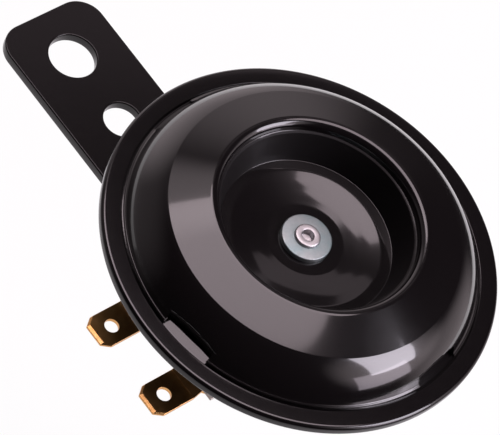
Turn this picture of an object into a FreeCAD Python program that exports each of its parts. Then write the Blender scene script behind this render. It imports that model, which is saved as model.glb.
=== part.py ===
import FreeCAD, Part
import os
import re
import Sketcher

# Compact electric disc horn, black painted steel, held by a flat strip bracket.
# The frame: the origin is the centre of the strip's bolt hole, midway through the strip,
# +Z points the way the horn sounds, and the horn's axis stands at -Y of the hole.
# Every horn piece is drawn about the horn's own axis, with Z = 0 on the rear face
# of the housing, and its placement carries it to the frame.

doc = FreeCAD.newDocument("disc_horn")
sheet = doc.addObject("Spreadsheet::Sheet", "Sizes")

# Driving sizes in millimetres
driving_sizes = {
    # bracket strip
    "bracket_gauge": 2.0,
    "bracket_width": 21.5,
    "bracket_corner": 5.0,
    "bracket_edge_round": 0.3,
    "bolt_hole_radius": 4.5,
    "bolt_hole_reach": 57.2,
    "bolt_hole_margin": 9.9,
    "small_hole_radius": 3.5,
    "hole_spacing": 15.0,
    # sheet gauges in the crimped rim
    "ring_gauge": 0.5,
    "diaphragm_gauge": 0.3,
    "gasket_gauge": 0.15,
    "housing_gauge": 0.8,
    # rim
    "rim_radius": 36.0,
    "rim_height": 20.0,
    "rim_bend": 0.75,
    "ring_face_width": 3.4,
    "ring_lip_width": 3.0,
    "crimp_clearance": 0.3,
    # housing
    "flange_width": 7.7,
    "flange_bend": 1.2,
    "drum_lean": 1.0,
    "drum_bend": 2.0,
    "shoulder_width": 8.0,
    "shoulder_height": 8.4,
    "shoulder_bend": 1.2,
    "cup_bend": 2.2,
    "floor_margin": 0.15,
    # diaphragm
    "diaphragm_seat_width": 0.4,
    "diaphragm_crest_run": 2.1,
    "diaphragm_crest_rise": 0.76,
    "diaphragm_slope_run": 9.6,
    "diaphragm_dish": 2.2,
    "diaphragm_bend": 2.0,
    # tone disc
    "disc_gauge": 0.6,
    "disc_bore_gap": 0.3,
    "disc_edge_rise": 0.45,
    "disc_flange_width": 0.45,
    "disc_flange_drop": 0.15,
    "disc_skirt_bend": 0.4,
    "disc_wall_run": 2.47,
    "disc_shoulder_height": 5.25,
    "disc_shoulder_run": 3.43,
    "disc_shoulder_drop": 1.75,
    "disc_shoulder_margin": 0.06,
    "disc_cone_run": 8.1,
    "disc_crest_height": 10.1,
    "disc_crest_bend": 1.3,
    "disc_bowl_run": 1.4,
    "disc_foot_height": 3.3,
    "disc_foot_bend": 3.0,
    "disc_seat_radius": 6.6,
    "disc_seat_height": 1.15,
    "disc_seat_bend": 3.0,
    "notch_width": 9.1,
    "notch_depth": 1.55,
    "notch_count": 4,
    "notch_turn": 9.0,
    # armature stud and its stack
    "stud_radius": 1.8,
    "stud_head_radius": 2.35,
    "stud_head_height": 0.6,
    "stud_hollow_radius": 1.1,
    "stud_hollow_depth": 1.6,
    "stud_sink": 5.0,
    "disc_washer_radius": 4.6,
    "disc_washer_gauge": 1.0,
    "spacer_radius": 3.6,
    "bore_clearance": 0.04,
    # magnet
    "core_radius": 6.0,
    "core_setback": 3.2,
    "air_gap": 0.35,
    "bobbin_clearance": 0.15,
    "bobbin_wall": 0.8,
    "bobbin_flange_gauge": 0.7,
    "bobbin_headroom": 0.6,
    "bobbin_seat_gap": 0.2,
    "coil_setback": 0.7,
    "coil_clearance": 0.05,
    "armature_clearance": 0.3,
    "armature_flange_radius": 8.6,
    "armature_flange_gauge": 1.0,
    "armature_neck_radius": 5.0,
    # threaded mounting stud, washers and nut
    "mount_stud_radius": 3.0,
    "mount_stud_proud": 1.2,
    "mount_hole_clearance": 0.2,
    "plain_washer_radius": 6.0,
    "plain_washer_gauge": 1.2,
    "lock_washer_radius": 5.4,
    "lock_washer_gauge": 1.5,
    "lock_washer_gap": 12.0,
    "nut_across_flats": 10.0,
    "nut_height": 5.0,
    "nut_chamfer": 0.45,
    "thread_clearance": 0.02,
    # spade terminals
    "blade_gauge": 0.8,
    "blade_width": 6.3,
    "blade_length": 8.3,
    "blade_joggle_margin": 1.4,
    "blade_root_width": 7.3,
    "blade_root_margin": 0.2,
    "blade_drop": 1.25,
    "blade_pitch": 15.0,
    "blade_hole_radius": 1.3,
    "blade_hole_margin": 4.0,
    "blade_corner_length": 1.6,
    "blade_corner_width": 1.15,
    "blade_tip_bevel": 0.33,
    "outer_plate_gauge": 1.0,
    "outer_plate_half_width": 12.8,
    "outer_plate_length": 6.1,
    "outer_plate_margin": 0.5,
    "inner_plate_gauge": 0.8,
    "inner_plate_span": 66.0,
    "terminal_rivet_inset": 3.4,
    "terminal_rivet_radius": 1.4,
    "terminal_rivet_head": 2.1,
    "inner_rivet_head": 1.7,
    "terminal_rivet_cap": 0.6,
    "rivet_isolation": 0.5,
    "lug_gauge": 0.5,
    "lug_tab": 2.9,
    "lug_margin": 1.75,
    "lug_width": 3.5,
    "lug_round": 0.6,
    # contact breaker
    "stack_width": 8.0,
    "stack_margin": 0.1,
    "stack_headroom": 1.7,
    "arm_gauge": 0.3,
    "arm_width": 4.4,
    "arm_lap": 1.4,
    "arm_tail": 2.6,
    "spacer_plate_gauge": 1.0,
    "plate_gauge": 0.8,
    "plate_lip": 0.4,
    "plate_width": 6.0,
    "plate_round": 1.0,
    "ear_margin": 3.8,
    "ear_half_width": 1.8,
    "ear_foot": 3.2,
    "contact_radius": 1.4,
    "contact_gap": 1.4,
    "fixed_contact_gauge": 0.4,
    "contact_rivet_radius": 0.9,
    "contact_rivet_head": 1.6,
    "contact_rivet_cap": 0.6,
    "contact_rivet_pitch": 4.8,
    # adjusting screw in its bush
    "screw_radius": 1.25,
    "screw_angle": 21.2,
    "screw_proud": 3.2,
    "screw_slot_width": 0.6,
    "screw_slot_depth": 0.8,
    "bush_radius": 1.9,
    "bush_flange_radius": 2.3,
    "bush_flange_gauge": 1.4,
    "bush_proud": 1.0,
    # leads
    "lead_radius": 0.45,
    "lead_bend": 1.2,
    "lead_rise": 2.6,
    "lead_coil_setback": 0.8,
    "lead_lug_offset": 2.35,
    "lead_arm_offset": 0.9,
    "lead_clearance": 0.12,
    "loop_ear_margin": 1.35,
}

# Levels and radii that follow from the driving sizes, all above the housing's rear face
derived_sizes = {
    # radii, from the rim inwards
    "ring_bore_radius": "=rim_radius - ring_face_width",
    "ring_lip_radius": "=rim_radius - ring_lip_width",
    "stack_radius": "=rim_radius - ring_gauge - crimp_clearance",
    "drum_top_radius": "=stack_radius - flange_width",
    "drum_radius": "=drum_top_radius - drum_lean",
    "cup_radius": "=drum_radius - shoulder_width",
    "floor_start": "=cup_radius + shoulder_bend + floor_margin",
    "floor_end": "=drum_radius - drum_bend - floor_margin",
    "diaphragm_seat_radius": "=ring_bore_radius - diaphragm_seat_width",
    "diaphragm_crest_radius": "=diaphragm_seat_radius - diaphragm_crest_run",
    "diaphragm_flat_radius": "=diaphragm_crest_radius - diaphragm_slope_run",
    "disc_radius": "=ring_bore_radius - disc_bore_gap",
    "disc_skirt_radius": "=disc_radius - disc_flange_width",
    "disc_shoulder_radius": "=disc_radius - disc_wall_run",
    "disc_crease_radius": "=disc_shoulder_radius - disc_shoulder_run",
    "disc_crest_radius": "=disc_crease_radius - disc_cone_run",
    "disc_foot_radius": "=disc_crest_radius - disc_bowl_run",
    "bobbin_flange_radius": "=cup_radius - cup_bend - bobbin_seat_gap",
    "coil_radius": "=bobbin_flange_radius - coil_setback",
    # levels, from the rim's top face downwards
    "ring_seat": "=rim_height - ring_gauge",
    "diaphragm_seat": "=ring_seat - diaphragm_gauge",
    "flange_top": "=diaphragm_seat - gasket_gauge",
    "flange_under": "=flange_top - housing_gauge",
    "lip_under": "=flange_under - ring_gauge",
    "floor_height": "=shoulder_height + housing_gauge",
    "diaphragm_crest": "=ring_seat + diaphragm_crest_rise",
    "diaphragm_centre": "=ring_seat - diaphragm_dish",
    "diaphragm_under": "=diaphragm_centre - diaphragm_gauge",
    "disc_edge": "=rim_height + disc_edge_rise",
    "disc_skirt": "=disc_edge + disc_flange_drop",
    "disc_shoulder": "=rim_height + disc_shoulder_height",
    "disc_crease": "=disc_shoulder + disc_shoulder_drop",
    "disc_wall_slope": "=atan((disc_shoulder - disc_skirt) / (disc_wall_run - disc_flange_width))",
    "disc_shoulder_slope": "=atan(disc_shoulder_drop / disc_shoulder_run)",
    "disc_shoulder_side": "=sqrt(disc_shoulder_run ^ 2 + disc_shoulder_drop ^ 2)",
    "disc_shoulder_bend": "=(disc_shoulder_side - disc_shoulder_margin)"
                          " / tan((disc_wall_slope - disc_shoulder_slope) / 2)",
    "disc_crest": "=rim_height + disc_crest_height",
    "disc_foot": "=rim_height + disc_foot_height",
    "disc_seat": "=rim_height + disc_seat_height",
    "disc_under": "=disc_seat - disc_gauge",
    "washer_top": "=disc_seat + disc_washer_gauge",
    # contact breaker and magnet, hung from the diaphragm's level
    "stack_root": "=floor_start + stack_margin",
    "stack_outer": "=sqrt(floor_end ^ 2 - (stack_width / 2) ^ 2) - stack_margin",
    "stack_middle": "=(stack_root + stack_outer) / 2",
    "plate_top": "=diaphragm_under - stack_headroom",
    "plate_under": "=plate_top - plate_gauge",
    "arm_top": "=plate_under - spacer_plate_gauge",
    "arm_under": "=arm_top - arm_gauge",
    "stack_base_height": "=arm_under - floor_height",
    "arm_tip_reach": "=armature_flange_radius - arm_lap",
    "contact_reach": "=armature_flange_radius + contact_gap + contact_radius",
    "plate_tip_reach": "=contact_reach - contact_radius - plate_lip",
    "bobbin_top": "=arm_under - bobbin_headroom",
    "core_height": "=arm_under - core_setback",
    "bobbin_bore": "=core_radius + bobbin_clearance",
    "bobbin_tube": "=bobbin_bore + bobbin_wall",
    "stud_bore": "=stud_radius + bore_clearance",
    "stud_root": "=diaphragm_under - stud_sink",
    "armature_radius": "=bobbin_bore - armature_clearance",
    "armature_foot": "=core_height + air_gap",
    "armature_flange_under": "=arm_top + bobbin_clearance",
    "armature_flange_top": "=armature_flange_under + armature_flange_gauge",
    # terminals on the housing's shoulder
    "root_top": "=shoulder_height - outer_plate_gauge",
    "root_under": "=root_top - blade_gauge",
    "blade_top": "=root_top - blade_drop",
    "blade_under": "=blade_top - blade_gauge",
    "lug_under": "=floor_height + inner_plate_gauge",
    "lug_top": "=lug_under + lug_gauge",
    "outer_plate_root": "=cup_radius + shoulder_bend + outer_plate_margin",
    "outer_plate_reach": "=outer_plate_root + outer_plate_length",
    "blade_root_reach": "=outer_plate_root + blade_root_margin",
    "blade_shoulder_reach": "=outer_plate_reach + blade_joggle_margin",
    "blade_reach": "=blade_shoulder_reach + blade_length",
    "blade_hole_reach": "=blade_reach - blade_hole_margin",
    "terminal_rivet_reach": "=cup_radius + terminal_rivet_inset",
    "rivet_circle": "=sqrt(terminal_rivet_reach ^ 2 + (blade_pitch / 2) ^ 2)",
    # adjusting screw over the middle of the housing's shoulder
    "screw_circle": "=(floor_start + floor_end) / 2",
    "screw_x": "=screw_circle * cos(screw_angle * 1 deg)",
    "screw_y": "=screw_circle * sin(screw_angle * 1 deg)",
    "ear_inner": "=screw_x - ear_foot",
    "ear_outer": "=screw_x + ear_half_width",
    "ear_reach": "=screw_y + ear_margin",
    # leads
    "lead_coil_reach": "=coil_radius - lead_coil_setback",
    "lead_lug_y": "=blade_pitch / 2 - lead_lug_offset",
    "lead_lug_reach": "=sqrt(terminal_rivet_reach ^ 2 + lead_lug_y ^ 2)",
    "lead_arm_x": "=stack_root + lead_arm_offset",
    "lead_arm_y": "=(stack_width + arm_tail) / 2",
    "lead_arm_reach": "=sqrt(lead_arm_x ^ 2 + lead_arm_y ^ 2)",
    "loop_radius": "=rivet_circle - inner_rivet_head - lead_radius - lead_clearance",
    "loop_level": "=lug_top + lead_radius",
    # mounting stud, washers and nut under the bracket
    "mount_hole_radius": "=mount_stud_radius + mount_hole_clearance",
    "nut_top": "=-(bracket_gauge + plain_washer_gauge + lock_washer_gauge)",
    "nut_under": "=nut_top - nut_height",
    "nut_bore": "=mount_stud_radius + thread_clearance",
    "nut_corner": "=nut_across_flats / 2 / cos(30 deg)",
}

for row, (alias, content) in enumerate({**driving_sizes, **derived_sizes}.items(), start=1):
    sheet.set(f"A{row}", alias)
    sheet.set(f"B{row}", str(content))
    sheet.setAlias(f"B{row}", alias)
doc.recompute()

alias_pattern = re.compile(r"\b(" + "|".join([*driving_sizes, *derived_sizes]) + r")\b")
part_nodes = []


def bound(text):
    """The expression with each size named in the sheet that holds it."""
    return alias_pattern.sub(r"Sizes.\1", text)


def value(text):
    """The number that an expression gives now."""
    return float(sheet.evalExpression(bound(text)))


def seat(piece, x="0", y="0", z="0", turn=None):
    """Label a finished piece, stand it on the horn's axis and keep it as a node."""
    piece.Label = piece.Name
    if turn:
        piece.Placement = FreeCAD.Placement(
            FreeCAD.Vector(), FreeCAD.Rotation(FreeCAD.Vector(0, 0, 1), value(turn)))
        piece.setExpression("Placement.Rotation.Angle", bound(turn))
    piece.setExpression("Placement.Base.x", bound(x))
    piece.setExpression("Placement.Base.y", bound(f"{y} - bolt_hole_reach"))
    piece.setExpression("Placement.Base.z", bound(f"{z} + bracket_gauge / 2"))
    part_nodes.append(piece)
    return piece


def hold(sketch, constraint, label, text):
    """Add a named size to a sketch and tie it to the sheet."""
    index = sketch.addConstraint(constraint)
    sketch.renameConstraint(index, label)
    return label, text


def hold_point(sketch, geometry, end, label, x, y):
    """Tie a point's two coordinates to the sheet, or to an axis where one is zero."""
    held = []
    for kind, axis, text in (("DistanceX", -2, x), ("DistanceY", -1, y)):
        if text == "0":
            sketch.addConstraint(Sketcher.Constraint("PointOnObject", geometry, end, axis))
            continue
        rule = Sketcher.Constraint(kind, -1, 1, geometry, end, value(text))
        held.append(hold(sketch, rule, f"{label}_{kind[-1].lower()}", text))
    return held


def draw_path(sketch, corners, rounds=None, closed=True):
    """Straight runs through the corners, each corner tied to the sheet, some of them rounded."""
    points = [FreeCAD.Vector(value(x), value(y), 0) for x, y in corners]
    runs = list(zip(points, points[1:] + points[:1])) if closed else list(zip(points, points[1:]))
    for start, finish in runs:
        sketch.addGeometry(Part.LineSegment(start, finish), False)
    held = []
    for index in range(len(runs) - 1):
        sketch.addConstraint(Sketcher.Constraint("Coincident", index, 2, index + 1, 1))
    if closed:
        sketch.addConstraint(Sketcher.Constraint("Coincident", len(runs) - 1, 2, 0, 1))
    for index, (x, y) in enumerate(corners):
        run, end = (index, 1) if index < len(runs) else (index - 1, 2)
        held += hold_point(sketch, run, end, f"corner{index}", x, y)
    for index, radius in (rounds or {}).items():
        before = (index - 1) % len(runs)
        middle = points[index]
        near_before = middle + (points[index - 1] - middle) * 0.05
        near_after = middle + (points[(index + 1) % len(points)] - middle) * 0.05
        sketch.fillet(before, index, near_before, near_after, value(radius), True, True)
        arc = max(number for number, item in enumerate(sketch.Geometry)
                  if isinstance(item, Part.ArcOfCircle))
        rule = Sketcher.Constraint("Radius", arc, value(radius))
        held.append(hold(sketch, rule, f"round{index}", radius))
    for label, text in held:
        sketch.setExpression(f"Constraints.{label}", bound(text))


def draw_circle(sketch, label, x, y, radius):
    """A circle whose centre and radius are tied to the sheet."""
    centre = FreeCAD.Vector(value(x), value(y), 0)
    circle = Part.Circle(centre, FreeCAD.Vector(0, 0, 1), value(radius))
    index = sketch.addGeometry(circle, False)
    held = hold_point(sketch, index, 3, label, x, y)
    rule = Sketcher.Constraint("Radius", index, value(radius))
    held.append(hold(sketch, rule, f"{label}_radius", radius))
    for name, text in held:
        sketch.setExpression(f"Constraints.{name}", bound(text))


def new_body(name):
    return doc.addObject("PartDesign::Body", name)


def sketch_in(body, name, plane):
    """A sketch on one of the body's own origin planes."""
    sketch = body.newObject("Sketcher::SketchObject", name)
    support = [item for item in body.Origin.OriginFeatures if item.Role == plane][0]
    sketch.AttachmentSupport = (support, [""])
    sketch.MapMode = "FlatFace"
    return sketch


def revolve(body, sketch, sweep="360"):
    """Turn a sketch about the body's Z axis."""
    feature = body.newObject("PartDesign::Revolution", f"{sketch.Name}_turn")
    feature.Profile = (sketch, [""])
    feature.ReferenceAxis = (sketch, ["V_Axis"])
    feature.setExpression("Angle", bound(sweep))
    doc.recompute()
    return feature


def turned(name, corners, rounds=None, sweep="360"):
    """A turned piece from its closed half section."""
    body = new_body(name)
    sketch = sketch_in(body, f"{name}_section", "XZ_Plane")
    draw_path(sketch, corners, rounds)
    revolve(body, sketch, sweep)
    return body


def pad(body, name, plane, corners, length, rounds=None, midplane=False):
    """Raise a closed outline."""
    sketch = sketch_in(body, f"{name}_outline", plane)
    draw_path(sketch, corners, rounds)
    feature = body.newObject("PartDesign::Pad", name)
    feature.Profile = (sketch, [""])
    feature.Midplane = midplane
    feature.setExpression("Length", bound(length))
    doc.recompute()
    return feature


def cut_through(body, name, sketch):
    """Cut a sketch through the whole body, both ways, and make sure that it took metal."""
    before = body.Shape.Volume
    feature = body.newObject("PartDesign::Pocket", name)
    feature.Profile = (sketch, [""])
    feature.Type = "ThroughAll"
    feature.Midplane = True
    doc.recompute()
    if not body.Shape.Volume < before:
        raise RuntimeError(f"{name} cuts nothing")
    return feature


def pierce(body, name, circles):
    """Drill round holes along Z."""
    sketch = sketch_in(body, f"{name}_sketch", "XY_Plane")
    for index, (x, y, radius) in enumerate(circles):
        draw_circle(sketch, f"hole{index}", x, y, radius)
    return cut_through(body, name, sketch)


def edges_where(shape, wanted):
    """Names of the edges that a test picks."""
    return [f"Edge{index}" for index, edge in enumerate(shape.Edges, start=1) if wanted(edge)]


def dress(body, kind, name, wanted, size_name, size):
    """A fillet or a chamfer on the edges that a test picks."""
    base = body.Tip
    names = edges_where(base.Shape, wanted)
    if not names:
        raise RuntimeError(f"{name} finds no edge")
    feature = body.newObject(kind, name)
    feature.Base = (base, names)
    feature.setExpression(size_name, bound(size))
    doc.recompute()
    return feature


def pressed(name, path, rounds, gauge, inward):
    """A sheet metal pressing: the section of its shown face, given its gauge, turned about Z."""
    sketch = doc.addObject("Sketcher::SketchObject", f"{name}_section")
    sketch.Placement = FreeCAD.Placement(
        FreeCAD.Vector(), FreeCAD.Rotation(FreeCAD.Vector(1, 0, 0), 90))
    draw_path(sketch, path, rounds, closed=False)
    sheet_metal = doc.addObject("Part::Offset2D", f"{name}_sheet")
    sheet_metal.Source = sketch
    sheet_metal.Mode = "Skin"
    sheet_metal.Join = "Intersection"
    sheet_metal.Fill = True
    sheet_metal.Value = inward * value(gauge)
    sheet_metal.setExpression("Value", bound(f"{inward} * {gauge}"))
    turned_sheet = doc.addObject("Part::Revolution", name)
    turned_sheet.Source = sheet_metal
    turned_sheet.Axis = FreeCAD.Vector(0, 0, 1)
    turned_sheet.Angle = 360
    turned_sheet.Solid = True
    doc.recompute()
    return turned_sheet


def cutter(name, x, y, radius, low, high):
    """An upright round bar, mostly a tool for a hole in a pressing."""
    tool = doc.addObject("Part::Cylinder", name)
    tool.setExpression("Radius", bound(radius))
    tool.setExpression("Height", bound(f"({high}) - ({low})"))
    tool.setExpression("Placement.Base.x", bound(x))
    tool.setExpression("Placement.Base.y", bound(y))
    tool.setExpression("Placement.Base.z", bound(low))
    return tool


def cut_from(name, base, tools):
    """Take several tools out of one piece."""
    joined = doc.addObject("Part::MultiFuse", f"{name}_tools")
    joined.Shapes = tools
    feature = doc.addObject("Part::Cut", name)
    feature.Base = base
    feature.Tool = joined
    doc.recompute()
    return feature


def flat_edge_at(z, tolerance=0.001):
    """A test for edges that lie flat at one height."""
    def lies_there(edge):
        box = edge.BoundBox
        return abs(box.ZMin - z) < tolerance and abs(box.ZMax - z) < tolerance
    return lies_there


# Bracket: a flat strip with a stud hole, a small hole and a bolt hole
def make_bracket():
    body = new_body("mounting_bracket")
    strip_end = "bolt_hole_reach + bolt_hole_margin"
    half = "bracket_width / 2"
    corners = [(f"-{half}", f"-{half}"), (half, f"-{half}"),
               (half, strip_end), (f"-{half}", strip_end)]
    rounds = {0: "bracket_width * 0.47", 1: "bracket_width * 0.47",
              2: "bracket_corner", 3: "bracket_corner"}
    pad(body, "strip", "XY_Plane", corners, "bracket_gauge", rounds)
    pierce(body, "strip_holes", [
        ("0", "0", "mount_hole_radius"),
        ("0", "bolt_hole_reach - hole_spacing", "small_hole_radius"),
        ("0", "bolt_hole_reach", "bolt_hole_radius"),
    ])
    flat = lambda edge: flat_edge_at(0)(edge) or flat_edge_at(value("bracket_gauge"))(edge)
    dress(body, "PartDesign::Fillet", "strip_edges", flat, "Radius", "bracket_edge_round")
    seat(body, z="-bracket_gauge")


# Housing: a stepped cup with a wide flange, pressed from one sheet
def make_housing():
    path = [("mount_hole_radius", "0"), ("cup_radius", "0"), ("cup_radius", "shoulder_height"),
            ("drum_radius", "shoulder_height"), ("drum_top_radius", "flange_under"),
            ("stack_radius", "flange_under")]
    rounds = {1: "cup_bend", 2: "shoulder_bend", 3: "drum_bend", 4: "flange_bend"}
    shell = pressed("housing", path, rounds, "housing_gauge", 1)
    low, high = "shoulder_height - housing_gauge", "floor_height + housing_gauge"
    tools = []
    for side, sign in (("left", ""), ("right", "-")):
        tools.append(cutter(f"terminal_hole_{side}", "-terminal_rivet_reach",
                            f"{sign}blade_pitch / 2",
                            "terminal_rivet_radius + rivet_isolation", low, high))
        tools.append(cutter(f"contact_hole_{side}", "stack_middle",
                            f"{sign}contact_rivet_pitch / 2",
                            "contact_rivet_radius", low, high))
    tools.append(cutter("bush_hole", "screw_x", "screw_y", "bush_radius", low, high))
    seat(cut_from("rear_housing", shell, tools))


# Rim: the clamp ring is crimped round the diaphragm, the gasket and the housing flange
def make_rim():
    path = [("ring_bore_radius", "rim_height"), ("rim_radius", "rim_height"),
            ("rim_radius", "lip_under"), ("ring_lip_radius", "lip_under")]
    seat(pressed("rim_ring", path, {1: "rim_bend", 2: "rim_bend"}, "ring_gauge", -1))

    path = [("stud_bore", "diaphragm_centre"),
            ("diaphragm_flat_radius", "diaphragm_centre"),
            ("diaphragm_crest_radius", "diaphragm_crest"),
            ("diaphragm_seat_radius", "ring_seat"), ("stack_radius", "ring_seat")]
    rounds = {1: "diaphragm_bend", 2: "diaphragm_bend", 3: "diaphragm_bend / 2"}
    seat(pressed("diaphragm", path, rounds, "diaphragm_gauge", -1))

    corners = [("ring_bore_radius", "flange_top"), ("stack_radius", "flange_top"),
               ("stack_radius", "diaphragm_seat"), ("ring_bore_radius", "diaphragm_seat")]
    seat(turned("diaphragm_gasket", corners))


# Tone disc: a bell shaped pressing with a bowl in its middle and four notches in its flange
def make_tone_disc():
    path = [("stud_bore", "disc_seat"), ("disc_seat_radius", "disc_seat"),
            ("disc_foot_radius", "disc_foot"), ("disc_crest_radius", "disc_crest"),
            ("disc_crease_radius", "disc_crease"), ("disc_shoulder_radius", "disc_shoulder"),
            ("disc_skirt_radius", "disc_skirt"), ("disc_radius", "disc_edge")]
    rounds = {1: "disc_seat_bend", 2: "disc_foot_bend", 3: "disc_crest_bend",
              5: "disc_shoulder_bend", 6: "disc_skirt_bend"}
    bell = pressed("bell", path, rounds, "disc_gauge", -1)
    tools = []
    for number in range(driving_sizes["notch_count"]):
        tool = doc.addObject("Part::Box", f"notch_{number + 1}")
        turn = driving_sizes["notch_turn"] + number * 360 / driving_sizes["notch_count"]
        tool.setExpression("Length", bound("notch_depth * 2"))
        tool.setExpression("Width", bound("notch_width"))
        tool.setExpression("Height", bound("disc_shoulder - ring_seat"))
        tool.Placement = FreeCAD.Placement(
            FreeCAD.Vector(), FreeCAD.Rotation(FreeCAD.Vector(0, 0, 1), turn))
        reach, half = "(disc_radius - notch_depth)", "notch_width / 2"
        across = f"{reach} * cos({turn} deg) + {half} * sin({turn} deg)"
        along = f"{reach} * sin({turn} deg) - {half} * cos({turn} deg)"
        tool.setExpression("Placement.Base.x", bound(across))
        tool.setExpression("Placement.Base.y", bound(along))
        tool.setExpression("Placement.Base.z", bound("ring_seat"))
        tools.append(tool)
    seat(cut_from("tone_disc", bell, tools))


# Stack that carries the tone disc on the diaphragm
def make_stud_stack():
    inner, outer = "stud_hollow_radius", "stud_head_radius"
    top = "washer_top + stud_head_height"
    corners = [("0", "stud_root"), ("stud_radius", "stud_root"),
               ("stud_radius", "washer_top"), (outer, "washer_top"), (outer, top),
               (inner, top), (inner, f"{top} - stud_hollow_depth"),
               ("0", f"{top} - stud_hollow_depth")]
    rounds = {4: "stud_head_height * 0.6", 5: "stud_head_height * 0.3"}
    seat(turned("armature_stud", corners, rounds))

    corners = [("stud_bore", "disc_seat"), ("disc_washer_radius", "disc_seat"),
               ("disc_washer_radius", "washer_top"), ("stud_bore", "washer_top")]
    seat(turned("tone_disc_washer", corners, {2: "disc_washer_gauge * 0.25"}))

    corners = [("stud_bore", "diaphragm_centre"), ("spacer_radius", "diaphragm_centre"),
               ("spacer_radius", "disc_under"), ("stud_bore", "disc_under")]
    seat(turned("spacer_collar", corners))

    corners = [("0", "armature_foot"), ("armature_radius", "armature_foot"),
               ("armature_radius", "armature_flange_under"),
               ("armature_flange_radius", "armature_flange_under"),
               ("armature_flange_radius", "armature_flange_top"),
               ("armature_neck_radius", "armature_flange_top"),
               ("armature_neck_radius", "diaphragm_under"), ("stud_radius", "diaphragm_under"),
               ("stud_radius", "stud_root"), ("0", "stud_root")]
    seat(turned("armature", corners))


# Magnet: a core with the threaded mounting stud, and a wound bobbin round it
def make_magnet():
    foot = "nut_under - mount_stud_proud"
    chamfer = "mount_stud_radius * 0.2"
    corners = [("0", foot), (f"mount_stud_radius - {chamfer}", foot),
               ("mount_stud_radius", f"{foot} + {chamfer}"),
               ("mount_stud_radius", "housing_gauge"), ("core_radius", "housing_gauge"),
               ("core_radius", "core_height"), ("0", "core_height")]
    seat(turned("pole_core", corners))

    corners = [("bobbin_bore", "housing_gauge"), ("bobbin_flange_radius", "housing_gauge"),
               ("bobbin_flange_radius", "housing_gauge + bobbin_flange_gauge"),
               ("bobbin_tube", "housing_gauge + bobbin_flange_gauge"),
               ("bobbin_tube", "bobbin_top - bobbin_flange_gauge"),
               ("bobbin_flange_radius", "bobbin_top - bobbin_flange_gauge"),
               ("bobbin_flange_radius", "bobbin_top"), ("bobbin_bore", "bobbin_top")]
    seat(turned("coil_bobbin", corners))

    low = "housing_gauge + bobbin_flange_gauge + coil_clearance"
    high = "bobbin_top - bobbin_flange_gauge - coil_clearance"
    inside = "bobbin_tube + coil_clearance"
    corners = [(inside, low), ("coil_radius", low), ("coil_radius", high), (inside, high)]
    seat(turned("coil_winding", corners))


# Nut and washers that clamp the bracket
def make_fasteners():
    washer_foot = "-bracket_gauge - plain_washer_gauge"
    corners = [("mount_hole_radius", washer_foot), ("plain_washer_radius", washer_foot),
               ("plain_washer_radius", "-bracket_gauge"), ("mount_hole_radius", "-bracket_gauge")]
    seat(turned("plain_washer", corners))

    corners = [("mount_hole_radius", "nut_top"), ("lock_washer_radius", "nut_top"),
               ("lock_washer_radius", washer_foot), ("mount_hole_radius", washer_foot)]
    seat(turned("lock_washer", corners, sweep="360 - lock_washer_gap"))

    body = new_body("hex_nut")
    corners = [(f"nut_corner * cos({60 * number} deg)", f"nut_corner * sin({60 * number} deg)")
               for number in range(6)]
    for spot, axis in ((0, 1), (3, 1)):
        corners[spot] = (corners[spot][0], "0")
    pad(body, "nut_blank", "XY_Plane", corners, "nut_height")
    pierce(body, "nut_thread", [("0", "0", "nut_bore")])
    trim = sketch_in(body, "nut_chamfers", "XZ_Plane")
    edge = "nut_corner + nut_chamfer"
    low = [(edge, "-nut_chamfer"), ("nut_across_flats / 2", "-nut_chamfer"),
           ("nut_across_flats / 2", "0"), (edge, "nut_chamfer * 1.6")]
    draw_path(trim, low)
    feature = body.newObject("PartDesign::Groove", "nut_chamfer_cut")
    feature.Profile = (trim, [""])
    feature.ReferenceAxis = (trim, ["V_Axis"])
    feature.Angle = 360
    doc.recompute()
    seat(body, z="nut_under")


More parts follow.
